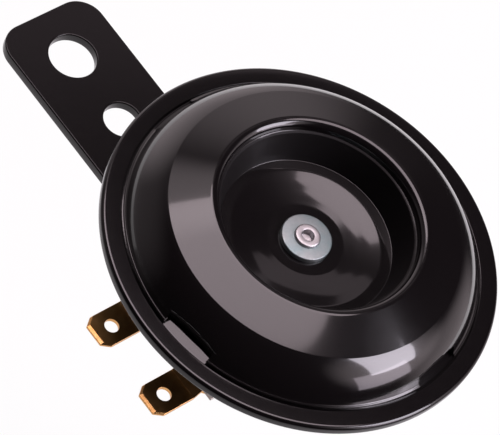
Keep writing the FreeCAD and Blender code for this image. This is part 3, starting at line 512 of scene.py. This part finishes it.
def run_tree(maker, tree, values):
    """Evaluate one geometry tree on an object and return the plain mesh."""
    bpy.context.scene.collection.objects.link(maker)
    modifier = maker.modifiers.new("tree", "NODES")
    modifier.node_group = tree
    for item in tree.interface.items_tree:
        if item.in_out == "INPUT" and item.name in values:
            modifier[item.identifier] = values[item.name]
    graph = bpy.context.evaluated_depsgraph_get()
    mesh = bpy.data.meshes.new_from_object(maker.evaluated_get(graph), depsgraph=graph)
    maker.modifiers.remove(modifier)
    bpy.data.objects.remove(maker)
    return mesh


print("a bend of 2 mm gets", bend_steps(2.0), "steps")

# %% [markdown]
# ## From a plain mesh to a piece
# The mesh is closed, faced outwards, moved to the shared frame and given its shading. Weighted
# normals keep the long cones true right up to their bends, where plain smooth shading would bend
# their reflections. A flat plate gets its normals typed instead: upright on both faces, and
# rounded at its edges. Then the piece is put under the body it moves with, unless it is a spring,
# and the CAD nodes it stands for are hidden.

# %% Settle a mesh as a piece
HORN, STACK = "horn_body", "vibrating_stack"
DOUBLE = 0.0005  # mm: points that are nearer than this are the same point
LEVEL = 0.001  # mm: points that are nearer than this to a plate's face lie on it


def outward_faces(mesh):
    """Merge doubles and make sure that a closed mesh is not inside out."""
    work = bmesh.new()
    work.from_mesh(mesh)
    bmesh.ops.remove_doubles(work, verts=work.verts, dist=DOUBLE)
    bmesh.ops.recalc_face_normals(work, faces=work.faces)
    if work.calc_volume(signed=True) < 0:
        bmesh.ops.reverse_faces(work, faces=work.faces)
    work.to_mesh(mesh)
    work.free()


def plate_normals(mesh):
    """Upright normals on a plate's two flat faces, and rounded ones between them."""
    heights = [vertex.co.z for vertex in mesh.vertices]
    low, high = min(heights), max(heights)
    normals = []
    for vertex in mesh.vertices:
        if vertex.co.z > high - LEVEL:
            normals.append(Vector((0, 0, 1)))
        elif vertex.co.z < low + LEVEL:
            normals.append(Vector((0, 0, -1)))
        else:
            normals.append(vertex.normal.copy())
    return normals


def settle(name, mesh, body, nodes, sharp=32.0, shift=(0, 0, 0), flat=False, spring=None):
    """Place a mesh in the frame, shade it, ride it on its body and hide what it replaces.

    A piece given a spring is only baked into the frame and rides no body; the spring's two places
    are not used.
    """
    outward_faces(mesh)
    for polygon in mesh.polygons:
        polygon.use_smooth = True
    normals = plate_normals(mesh) if flat else None
    mesh.transform(TO_FRAME @ Matrix.Translation(shift))
    piece = bpy.data.objects.new(name, mesh)
    bpy.context.scene.collection.objects.link(piece)
    if flat:
        mesh.normals_split_custom_set_from_vertices(normals)
    else:
        mesh.set_sharp_from_angle(angle=math.radians(sharp))
        weighted = piece.modifiers.new("true normals", "WEIGHTED_NORMAL")
        weighted.keep_sharp = True
        weighted.weight = 50
        graph = bpy.context.evaluated_depsgraph_get()
        mesh = bpy.data.meshes.new_from_object(piece.evaluated_get(graph), depsgraph=graph)
        piece.modifiers.clear()
        piece.data = mesh
    mesh.name = name
    if spring:
        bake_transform(piece)
    else:
        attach(piece, body)
    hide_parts(*nodes)
    print(f"{name}: {len(mesh.polygons)} faces")


def spun(name, loop, finish, body, nodes, turns=FULL_TURN, closed=True, **more):
    """A piece turned about the horn's axis."""
    mesh = run_tree(section_object(name + "_section", loop, closed), SPIN,
                    {"Turns": turns, "Finish": finish})
    settle(name, mesh, body, nodes, **more)


print("builders ready")

# %% [markdown]
# ## The tone disc
# The tone disc is the horn's face: a bell pressed from one round of thin steel, with a bowl in
# its middle, a rolled crest, a long cone, a shoulder and a steep skirt that ends in a narrow
# flange. The bell is spun from its section.

# %% Tone disc section
STUD_BORE = 1.84
DISC_SEAT = RIM_TOP + 1.15
DISC_EDGE = RIM_TOP + 0.45
DISC_GAUGE = 0.6
disc_line = [
    (STUD_BORE, DISC_SEAT, 0.0),
    (6.95, DISC_SEAT, 6.0),  # the seat ends and the dish begins
    (9.0, RIM_TOP + 1.32, 60.0),
    (11.2, RIM_TOP + 1.55, 60.0),
    (13.6, RIM_TOP + 1.85, 4.0),
    (15.6, RIM_TOP + 1.85, 0.15),  # foot of the bowl's wall
    (17.45, RIM_TOP + 7.65, 0.2),
    (17.95, RIM_TOP + 7.85, 0.2),  # a small step in the wall
    (18.3, RIM_TOP + 10.1, 1.3),  # crest
    (26.4, RIM_TOP + 7.0, 0.0),  # a soft crease in the cone
    (29.83, RIM_TOP + 5.25, 10.5),  # shoulder
    (31.85, DISC_EDGE + 0.15, 0.4),  # skirt meets flange
    (32.3, DISC_EDGE, 0.0),
]
disc_section = sheet_section(disc_line, -DISC_GAUGE, 0.2)
print("the section has", len(disc_section), "corners")

# %% [markdown]
# ## The notches in its flange
# Four notches are cut in the flange, a quarter turn apart, where the press tool held the blank.
# Four equal cuts round a circle are a repeat, so a second tree makes them: it stands a block on
# each corner of a square about the axis, turns it to face outwards, and takes the blocks away.

# %% Geometry Nodes: cut notches round a rim
NOTCHES, NOTCH_REACH, NOTCH_WIDTH = 4, 30.75, 9.8
NOTCH_MIDDLE, NOTCH_TURN = RIM_TOP + 2.6, math.radians(9.5)
CUTTER_LENGTH, CUTTER_HEIGHT = 8.0, 6.4


def make_notch_tree():
    tree, add, given = new_tree("cut notches", [
        ("Notches", "NodeSocketInt", NOTCHES), ("Reach", "NodeSocketFloat", NOTCH_REACH),
        ("Width", "NodeSocketFloat", NOTCH_WIDTH), ("Height", "NodeSocketFloat", NOTCH_MIDDLE),
        ("Turn", "NodeSocketFloat", NOTCH_TURN), ("Finish", "NodeSocketMaterial", None)])
    size = add.add("ShaderNodeCombineXYZ", None, {
        0: CUTTER_LENGTH, 1: given.outputs["Width"], 2: CUTTER_HEIGHT})
    block = add.add("GeometryNodeMeshCube", None, {"Size": size})
    middle = add.add("ShaderNodeMath", {"operation": "ADD"}, {
        0: given.outputs["Reach"], 1: CUTTER_LENGTH / 2})
    ring = add.add("GeometryNodeMeshCircle", None, {
        "Vertices": given.outputs["Notches"], "Radius": middle})
    ring = add.add("GeometryNodeTransform", None, {
        "Geometry": ring,
        "Translation": add.add("ShaderNodeCombineXYZ", None, {2: given.outputs["Height"]}),
        "Rotation": add.add("ShaderNodeCombineXYZ", None, {2: given.outputs["Turn"]})})
    place = add.add("GeometryNodeInputPosition")
    heading = add.add("FunctionNodeAlignRotationToVector", {"axis": "X", "pivot_axis": "Z"},
                      {"Vector": place})
    cutters = add.add("GeometryNodeInstanceOnPoints", None, {
        "Points": ring, "Instance": block, "Rotation": heading})
    cutters = add.add("GeometryNodeRealizeInstances", None, {"Geometry": cutters})
    cut = add.add("GeometryNodeMeshBoolean", {"operation": "DIFFERENCE", "solver": "EXACT"}, {
        0: given.outputs["Geometry"], 1: cutters})
    finish_tree(add, cut, given)
    return tree


NOTCH = make_notch_tree()
bell = run_tree(section_object("bell_section", disc_section), SPIN,
                {"Turns": FULL_TURN, "Finish": ENAMEL})
outward_faces(bell)
notched = run_tree(bpy.data.objects.new("bell", bell), NOTCH, {"Finish": ENAMEL})
settle("bell_disc", notched, STACK, ["tone_disc"])

# %% [markdown]
# ## Rim, housing and diaphragm
# The clamp ring is a light steel ring rolled round the housing's flange, with the diaphragm and a
# paper gasket between them. From above it is a flat black band with two soft edges, and its inner
# edge ends just under the tone disc. The diaphragm's slope shows through the notches. The housing
# is a deep drawn cup with a step, seen only from the side and the rear.
#
# The diaphragm is a spring: its middle swings with the armature while its edge is clamped. Here
# it is only baked into the frame and rides neither body.

# %% Rim ring, housing and diaphragm
RING_GAUGE, CUP_GAUGE, SPRING_GAUGE = 0.5, 0.8, 0.3
RIM_REACH, RIM_FOOT, FLANGE_REACH = 36.0, 17.75, 35.2
SPRING_MOVES, SPRING_HELD = 0.0184, 0.0200  # heights in the shared frame, so in metres

rim_line = [(32.6, RIM_TOP, 0.0), (RIM_REACH, RIM_TOP, 0.75), (RIM_REACH, RIM_FOOT, 0.75),
            (33.0, RIM_FOOT, 0.0)]
spun("clamp_ring", sheet_section(rim_line, -RING_GAUGE, 0.15), ENAMEL, HORN, ["rim_ring"])

cup_line = [(3.2, 0.0, 0.0), (18.5, 0.0, 2.2), (18.5, 8.4, 1.2), (26.5, 8.4, 2.0),
            (27.5, 18.25, 1.2), (FLANGE_REACH, 18.25, 0.0)]
spun("housing_cup", sheet_section(cup_line, CUP_GAUGE, 0.15), ENAMEL, HORN, ["rear_housing"])

spring_line = [(STUD_BORE, 17.3, 0.0), (20.5, 17.3, 2.0), (30.1, 20.26, 2.0), (32.2, 19.5, 1.0),
               (FLANGE_REACH, 19.5, 0.0)]
spun("diaphragm_skin", sheet_section(spring_line, -SPRING_GAUGE, 0.05), ENAMEL, HORN,
     ["diaphragm"], spring=((0, AXIS_Y, SPRING_MOVES), (0, AXIS_Y, SPRING_HELD)))

# %% [markdown]
# ## Washer and stud
# In the bowl a zinc plated washer holds the tone disc down, and the armature's stud is peened over
# it. The head is a low ring with a hollow in it, left by the tool that spread the metal. Both are
# turned pieces. A stamped washer has one edge rolled over and one sharp, so its upper edge is
# rounded more.

# %% Washer and stud
WASHER_TOP, WASHER_REACH = DISC_SEAT + 1.0, 4.6
HEAD_TOP, HEAD_REACH, HOLLOW_REACH = WASHER_TOP + 0.6, 2.35, 1.1

washer_loop = [(STUD_BORE, DISC_SEAT, 0.0), (WASHER_REACH, DISC_SEAT, 0.1),
               (WASHER_REACH, WASHER_TOP, 0.25), (STUD_BORE, WASHER_TOP, 0.0)]
spun("disc_washer", washer_loop, ZINC, STACK, ["tone_disc_washer"], turns=128)

stud_line = [(0.0, 12.0, 0.0), (1.8, 12.0, 0.1), (1.8, WASHER_TOP, 0.0),
             (HEAD_REACH, WASHER_TOP, 0.1), (HEAD_REACH, HEAD_TOP, 0.36),
             (HOLLOW_REACH, HEAD_TOP, 0.18), (HOLLOW_REACH, 21.3, 0.15), (0.0, 21.15, 0.0)]
spun("peened_stud", stud_line, STEEL, STACK, ["armature_stud"], turns=96, closed=False)

# %% [markdown]
# ## Stamped plates
# The bracket and the terminals are stamped from strip: an outline with rounded corners, holes,
# and edges that the stamping tool leaves slightly rounded. A third tree rounds the outline and
# sets the holes in it. It runs a small rounded profile along every edge and fills the two flat
# faces between them. Every loop has the metal on its left, so one profile serves the outline and
# the holes alike.

# %% Geometry Nodes: stamp a plate
def make_plate_tree():
    tree, add, given = new_tree("stamp a plate", [
        ("Gauge", "NodeSocketFloat", 1.0), ("Edge", "NodeSocketFloat", 0.2),
        ("Hole Steps", "NodeSocketInt", 96), ("Edge Steps", "NodeSocketInt", 6),
        ("Finish", "NodeSocketMaterial", None)])
    gauge, edge = given.outputs["Gauge"], given.outputs["Edge"]
    is_hole = stored(add, "hole", "BOOLEAN")
    split = add.add("GeometryNodeSeparateGeometry", {"domain": "POINT"}, {
        "Geometry": given.outputs["Geometry"], "Selection": is_hole}, out=None)
    outline = rounded_curve(add, split.outputs[1])
    circle = add.add("GeometryNodeCurvePrimitiveCircle", None, {
        "Resolution": given.outputs["Hole Steps"], "Radius": 1.0})
    circle = add.add("GeometryNodeReverseCurve", None, {"Curve": circle})
    width = stored(add, "bend", "FLOAT")
    holes = add.add("GeometryNodeInstanceOnPoints", None, {
        "Points": split.outputs[0], "Instance": circle, "Scale": width})
    holes = add.add("GeometryNodeRealizeInstances", None, {"Geometry": holes})
    loops = joined(add, outline, holes)
    loops = add.add("GeometryNodeSetCurveNormal", {"mode": "Z_UP"}, {"Curve": loops})

    def lowered(number):
        return add.add("ShaderNodeMath", {"operation": "MULTIPLY"}, {0: number, 1: -1.0})

    inner_height = add.add("ShaderNodeMath", {"operation": "SUBTRACT"}, {0: gauge, 1: edge})
    low = add.add("ShaderNodeCombineXYZ", None, {1: lowered(edge)})
    high = add.add("ShaderNodeCombineXYZ", None, {1: lowered(inner_height)})
    wall = add.add("GeometryNodeCurvePrimitiveLine", None, {"Start": low, "End": high})
    rolls = []
    for height, start in ((edge, 0.0), (inner_height, -0.5)):
        roll = add.add("GeometryNodeCurveArc", None, {
            "Resolution": given.outputs["Edge Steps"], "Radius": edge,
            "Start Angle": start * math.pi, "Sweep Angle": 0.5 * math.pi})
        centre = add.add("ShaderNodeCombineXYZ", None, {0: lowered(edge), 1: lowered(height)})
        rolls.append(add.add("GeometryNodeTransform", None, {
            "Geometry": roll, "Translation": centre}))
    profile = joined(add, wall, *rolls)
    sides = add.add("GeometryNodeCurveToMesh", None, {"Curve": loops, "Profile Curve": profile})

    tangent = add.add("GeometryNodeInputTangent")
    leftward = add.add("ShaderNodeVectorMath", {"operation": "CROSS_PRODUCT"}, {
        0: (0, 0, 1), 1: tangent})
    leftward = add.add("ShaderNodeVectorMath", {"operation": "SCALE"}, {0: leftward, "Scale": edge})
    inset = add.add("GeometryNodeSetPosition", None, {"Geometry": loops, "Offset": leftward})
    face = add.add("GeometryNodeFillCurve", None, {"Curve": inset})
    lift = add.add("ShaderNodeCombineXYZ", None, {2: gauge})
    upper = add.add("GeometryNodeTransform", None, {"Geometry": face, "Translation": lift})
    lower = add.add("GeometryNodeFlipFaces", None, {"Mesh": face})
    closed = add.add("GeometryNodeMergeByDistance", None, {
        "Geometry": joined(add, sides, upper, lower), "Distance": WELD})
    finish_tree(add, closed, given)
    return tree


PLATE = make_plate_tree()
CORNER_STEPS = 16


def plate_object(name, corners, holes):
    """Outline corners with bends, joined by edges, and loose hole centres with radii."""
    mesh = bpy.data.meshes.new(name)
    count = len(corners)
    edges = [(index, (index + 1) % count) for index in range(count)]
    points = [(x, y, 0) for x, y, bend in [*corners, *holes]]
    mesh.from_pydata(points, edges, [])
    bends = mesh.attributes.new("bend", "FLOAT", "POINT")
    steps = mesh.attributes.new("steps", "INT", "POINT")
    marks = mesh.attributes.new("hole", "BOOLEAN", "POINT")
    for index, (x, y, bend) in enumerate([*corners, *holes]):
        bends.data[index].value = bend
        steps.data[index].value = CORNER_STEPS
        marks.data[index].value = index >= count
    return bpy.data.objects.new(name, mesh)


print("tree:", PLATE.name, "with", len(PLATE.nodes), "nodes")

# %% [markdown]
# ## The bracket
# The bracket is a plain strip of 2 mm steel. Its end is round under the horn's stud, the far end
# has corners of 5 mm, and it has a 9 mm bolt hole and a 7 mm hole for a smaller bolt or a pin.

# %% Bracket
HALF_STRIP, FAR_END, STRIP_EDGE = 10.75, BOLT_REACH + 9.9, 0.3
bracket_corners = [(-HALF_STRIP, -HALF_STRIP, 10.1), (HALF_STRIP, -HALF_STRIP, 10.1),
                   (HALF_STRIP, FAR_END, 5.0), (-HALF_STRIP, FAR_END, 5.0)]
bracket_holes = [(0, 0, 3.2), (0, BOLT_REACH - 15.0, 3.5), (0, BOLT_REACH, 4.5)]
strip = run_tree(plate_object("strip_outline", bracket_corners, bracket_holes), PLATE,
                 {"Gauge": BRACKET_GAUGE, "Edge": STRIP_EDGE, "Finish": STRIP_PAINT})
settle("strip_bracket", strip, HORN, ["mounting_bracket"], shift=(0, 0, -BRACKET_GAUGE), flat=True)

# %% [markdown]
# ## The spade terminals
# Each terminal is stamped from 0.8 mm brass. It narrows at its shoulders, steps down just past
# them, and is pinched thin along its tip, so that a push-on connector finds its way. The blank
# comes from the plate tree. It is cut across at each bend, and then its points are moved: the tip
# is squeezed towards the middle of the strip, and the blade is lowered past the step.

# %% Shape of a blade
BLADE_TOP, BLADE_GAUGE, BLADE_REACH, BLADE_EDGE = 7.4, 0.8, 36.0, 0.08
HALF_BLADE, HALF_ROOT, ROOT_REACH = 3.15, 3.65, 20.4
STEP_START, STEP_END, STEP_DROP = 26.45, 27.7, 1.25
TIP_WIDTH, CORNER_WIDTH, PINCH = 0.62, 0.36, 0.19
CORNER_REACH, CORNER_X, CORNER_Y = 34.4, 0.584, 0.812  # where it starts, and its direction
CUT_SLACK = 0.0001


def cut_across(work, point, normal, slack):
    """Cut a mesh's edges and faces where a plane crosses them."""
    geometry = work.verts[:] + work.edges[:] + work.faces[:]
    bmesh.ops.bisect_plane(work, geom=geometry, plane_co=point, plane_no=normal, dist=slack)


def tip_pinch(x, y):
    """How far each face is squeezed inwards at a point of the blade."""
    from_tip = (x + BLADE_REACH) / TIP_WIDTH
    past_corner = CORNER_X * (x + CORNER_REACH) - CORNER_Y * (abs(y) - HALF_BLADE)
    return PINCH * max(0.0, 1.0 - min(from_tip, past_corner / CORNER_WIDTH))


def shape_blade(mesh):
    """Pinch the tip and step the blade down."""
    work = bmesh.new()
    work.from_mesh(mesh)
    for reach in (STEP_START, STEP_END, BLADE_REACH - TIP_WIDTH):
        cut_across(work, (-reach, 0, 0), (1, 0, 0), CUT_SLACK)
    for way in (1, -1):
        inner = (CORNER_X * CORNER_WIDTH - CORNER_REACH,
                 way * (HALF_BLADE - CORNER_Y * CORNER_WIDTH), 0)
        cut_across(work, inner, (CORNER_X, -way * CORNER_Y, 0), CUT_SLACK)
    for vertex in work.verts:
        x, y, z = vertex.co
        squeeze = 1 - 2 * tip_pinch(x, y) / BLADE_GAUGE
        lowered = STEP_DROP * min(max((-x - STEP_START) / (STEP_END - STEP_START), 0), 1)
        vertex.co.z = BLADE_GAUGE / 2 + (z - BLADE_GAUGE / 2) * squeeze - lowered
    work.to_mesh(mesh)
    work.free()


print("the tip's end is", round(BLADE_GAUGE - 2 * tip_pinch(-BLADE_REACH, 0), 2), "mm thick")

# %% [markdown]
# ## Two terminals alike
# Both come from one outline, which is the same on both sides of its middle line. A round hole
# near the tip locks the connector, and the rivet sits in the hole at the root.

# %% Terminals
blade_side = [(-ROOT_REACH, HALF_ROOT, 0.3), (-25.8, HALF_ROOT, 0.2), (-26.3, HALF_BLADE, 0.2),
              (-CORNER_REACH, HALF_BLADE, 0.2), (-BLADE_REACH, 2.0, 0.2)]
blade_corners = blade_side + [(x, -y, bend) for x, y, bend in reversed(blade_side)]
blade_holes = [(-32.0, 0, 1.3), (-21.9, 0, 1.4)]
for number, across in ((1, 7.5), (2, -7.5)):
    blank = run_tree(plate_object(f"blade_outline_{number}", blade_corners, blade_holes), PLATE,
                     {"Gauge": BLADE_GAUGE, "Edge": BLADE_EDGE, "Finish": BRASS,
                      "Hole Steps": 48, "Edge Steps": 4})
    shape_blade(blank)
    settle(f"spade_{number}", blank, HORN, [f"terminal_blade_{number}"], sharp=14.0,
           shift=(0, across, BLADE_TOP - BLADE_GAUGE))

# %% [markdown]
# ## The contact arm
# Inside, the armature presses on a leaf of spring bronze and opens the contacts. The leaf's free
# end follows the armature and its root is clamped. So a copy of the CAD solid is cut across a few
# times between the two, so that it has edges to bend at, and is baked into the frame in no body.

# %% Contact arm
LEAF_CUTS, LEAF_SLACK = 8, 0.000001  # the leaf is in the shared frame, so its slack is in metres
leaf_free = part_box("armature")[1][0]
leaf_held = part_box("moving_contact")[0][0]
leaf_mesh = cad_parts["contact_arm"].data.copy()
work = bmesh.new()
work.from_mesh(leaf_mesh)
bmesh.ops.remove_doubles(work, verts=work.verts, dist=LEAF_SLACK)
for step in range(LEAF_CUTS + 1):
    across = leaf_free + (leaf_held - leaf_free) * step / LEAF_CUTS
    cut_across(work, (across, 0, 0), (1, 0, 0), LEAF_SLACK)
work.to_mesh(leaf_mesh)
work.free()
leaf_mesh.materials.clear()
leaf_mesh.materials.append(BRONZE)
leaf = bpy.data.objects.new("contact_leaf", leaf_mesh)
bpy.context.scene.collection.objects.link(leaf)
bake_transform(leaf)
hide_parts("contact_arm")
print("contact leaf bends from x =", round(1000 * leaf_free, 2), "to",
      round(1000 * leaf_held, 2), "mm")

# %% [markdown]
# ## Finishes for the other pieces
# What stays as CAD only needs its finish. A node's material slots are filled with ours.

# %% Paint the CAD nodes
node_finish = {
    "diaphragm_gasket": PAPER, "spacer_collar": STEEL, "armature": STEEL, "pole_core": ZINC,
    "coil_bobbin": PLASTIC, "coil_winding": COPPER, "plain_washer": ZINC, "lock_washer": ZINC,
    "hex_nut": ZINC, "terminal_rivet_1": BRASS, "terminal_rivet_2": BRASS, "inner_lug_1": BRASS,
    "inner_lug_2": BRASS, "terminal_insulator": BOARD, "inner_insulator": BOARD,
    "contact_base": BOARD, "contact_spacer": BOARD, "contact_plate": STEEL,
    "moving_contact": CONTACT, "fixed_contact": CONTACT, "contact_rivet_1": BRASS,
    "contact_rivet_2": BRASS, "adjusting_bush": BRASS, "adjusting_screw": ZINC,
    "coil_lead_1": COPPER, "coil_lead_2": COPPER, "loop_lead": SLEEVE,
}
for node, finish in node_finish.items():
    node_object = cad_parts[node]
    if not node_object.material_slots:
        node_object.data.materials.append(finish)
    for slot in node_object.material_slots:
        slot.material = finish
print("painted", len(node_finish), "CAD nodes")

# %% [markdown]
# ## The lamps
# The picture is a product shot on white. Black enamel shows little but its surroundings, so the
# studio is laid out from the reflections: where each reflection lies on the tone disc says in
# which direction its lamp stands, and how bright it is says how strong the lamp is. A wide oval
# box hangs overhead and gives the cone its pale ring. A smaller, stronger box stands on the right
# and gives the shoulder its glint, with a weaker one low beside it. A thin, faint strip stands
# opposite the camera.
#
# Directions are given as degrees down from the zenith and degrees round from +X. The strength is
# the brightness of the box's own face, where 1 is white paper. An oval face comes out a quarter
# brighter, because it is smaller for the same energy.

# %% Soft boxes
HORN_CENTRE = Vector((0, AXIS_Y, 0.022))


def towards(zenith, azimuth):
    """A unit vector, from degrees down from the zenith and degrees round from +X."""
    down, round_z = math.radians(zenith), math.radians(azimuth)
    return Vector((math.sin(down) * math.cos(round_z), math.sin(down) * math.sin(round_z),
                   math.cos(down)))


def add_box(name, zenith, azimuth, length, width, along, strength, colour, shape="RECTANGLE"):
    """A soft box one metre away that faces the horn, its length laid along another direction."""
    lamp = bpy.data.lights.new(name, "AREA")
    lamp.shape = shape
    lamp.size, lamp.size_y = length, width
    lamp.energy = strength * math.pi * length * width
    lamp.color = colour
    holder = bpy.data.objects.new(name, lamp)
    bpy.context.scene.collection.objects.link(holder)
    back = towards(zenith, azimuth)
    side = towards(*along) - towards(*along).project(back)
    side.normalize()
    up = back.cross(side)
    place = HORN_CENTRE + back
    holder.matrix_world = Matrix((
        (side.x, up.x, back.x, place.x), (side.y, up.y, back.y, place.y),
        (side.z, up.z, back.z, place.z), (0, 0, 0, 1)))
    holder.visible_camera = False


LIGHT = 0.78  # dims all the lamps together
add_box("overhead_box", 12.8, 51, 1.11, 0.69, (60, 97), 3.9 * LIGHT, (1.0, 0.84, 0.90), "ELLIPSE")
add_box("right_box", 53.0, -62, 0.63, 0.43, (75, -68), 10.5 * LIGHT, (1.0, 0.93, 1.05))
add_box("low_box", 77.0, -74, 0.42, 0.50, (89, -74), 4.0 * LIGHT, (1.0, 0.88, 1.0))
add_box("far_strip", 44.3, 30, 0.33, 0.09, (49, 19), 0.75 * LIGHT, (1.0, 0.84, 0.90))

# %% [markdown]
# ## The room
# Behind the lamps the room is nearly dark, with six soft patches for its paler parts. To the
# camera the world is plain white instead. It is white in reflections too where they look down,
# because there the paper under the horn goes on.

# %% World
# Each patch: zenith and azimuth, how far off it starts, how far off it is full, and its level.
PATCHES = [(38, 80, 16, 4, 1.2), (62, -66, 34, 12, 1.2), (94, -36, 32, 8, 0.75),
           (86, 62, 40, 8, 0.80), (88, 105, 50, 10, 0.25), (66, 24, 18, 8, 0.14)]
DARK_ROOM = 0.02
PAPER_FULL, PAPER_ENDS = -0.95, -0.35  # heights of a direction, where -1 is straight down
world = bpy.data.worlds.new("studio")
bpy.context.scene.world = world
world.use_nodes = True
world.node_tree.nodes.clear()
sky = Tree(world.node_tree)
ray = sky.add("ShaderNodeLightPath", out=None)
white = sky.add("ShaderNodeBackground", None, {"Color": (1, 1, 1, 1), "Strength": 1.0})
heading = sky.add("ShaderNodeTexCoord", out="Generated")
height = Value(sky, sky.add("ShaderNodeSeparateXYZ", None, {0: heading}, out="Z"))
strength = DARK_ROOM
for zenith, azimuth, edge, middle, level in PATCHES:
    facing = sky.add("ShaderNodeVectorMath", {"operation": "DOT_PRODUCT"},
                     {0: heading, 1: towards(zenith, azimuth)}, out="Value")
    strength = strength + level * Value(sky, facing).ramp(
        math.cos(math.radians(edge)), math.cos(math.radians(middle)))
dim = sky.add("ShaderNodeBackground", None, {"Color": (1.0, 0.86, 0.90, 1), "Strength": strength})
mirrored = Value(sky, ray.outputs["Is Glossy Ray"]).math(
    "MAXIMUM", ray.outputs["Is Transmission Ray"])
paper_side = mirrored * (1.0 - height.ramp(PAPER_FULL, PAPER_ENDS))
share = paper_side.math("MAXIMUM", ray.outputs["Is Camera Ray"])
shown = sky.add("ShaderNodeMixShader", None, {0: share, 1: dim, 2: white})
sky.add("ShaderNodeOutputWorld", None, {"Surface": shown}, out=None)
print("room:", len(PATCHES), "soft patches")

# %% [markdown]
# ## The floor
# The floor is white paper well below the horn. To the camera it glows white as the paper of a
# product shot does, but about an eighth of it is left as lit paper, so that the object's shadow
# stays on it. In reflections it glows a little over half as much, because the photograph shows
# the rim's outer wall, which mirrors the paper, almost black.

# %% Floor
FLOOR_RADIUS, FLOOR_HEIGHT, FLOOR_SIDES = 0.5, -0.12, 96
GLOW_SHARE, MIRRORED_GLOW = 0.87, 0.6
floor_mesh = bpy.data.meshes.new("floor")
turns = [math.tau * step / FLOOR_SIDES for step in range(FLOOR_SIDES)]
edge = [(FLOOR_RADIUS * math.cos(turn), FLOOR_RADIUS * math.sin(turn), FLOOR_HEIGHT)
        for turn in turns]
floor_mesh.from_pydata(edge, [], [range(FLOOR_SIDES)])
floor = bpy.data.objects.new("floor", floor_mesh)
bpy.context.scene.collection.objects.link(floor)
paper = bpy.data.materials.new("white_paper")
paper.use_nodes = True
paper.node_tree.nodes.clear()
sweep = Tree(paper.node_tree)
ray = sweep.add("ShaderNodeLightPath", out=None)
through = Value(sweep, ray.outputs["Is Glossy Ray"]).math(
    "MAXIMUM", ray.outputs["Is Transmission Ray"])
seen = (MIRRORED_GLOW * through).math("MAXIMUM", ray.outputs["Is Camera Ray"])
lit = sweep.add("ShaderNodeBsdfDiffuse", None, {"Color": (0.92, 0.92, 0.92, 1)})
glow = sweep.add("ShaderNodeEmission", None, {"Color": (1, 1, 1, 1), "Strength": 1.0})
share = sweep.add("ShaderNodeMixShader", None, {0: GLOW_SHARE * seen, 1: lit, 2: glow})
sweep.add("ShaderNodeOutputMaterial", None, {"Surface": share}, out=None)
floor_mesh.materials.append(paper)
print("floor laid")

# %% [markdown]
# ## Colours as they are, and the end
# Colours are shown without a film curve.

# %% Plain settings and the end
bpy.context.scene.view_settings.view_transform = "Standard"
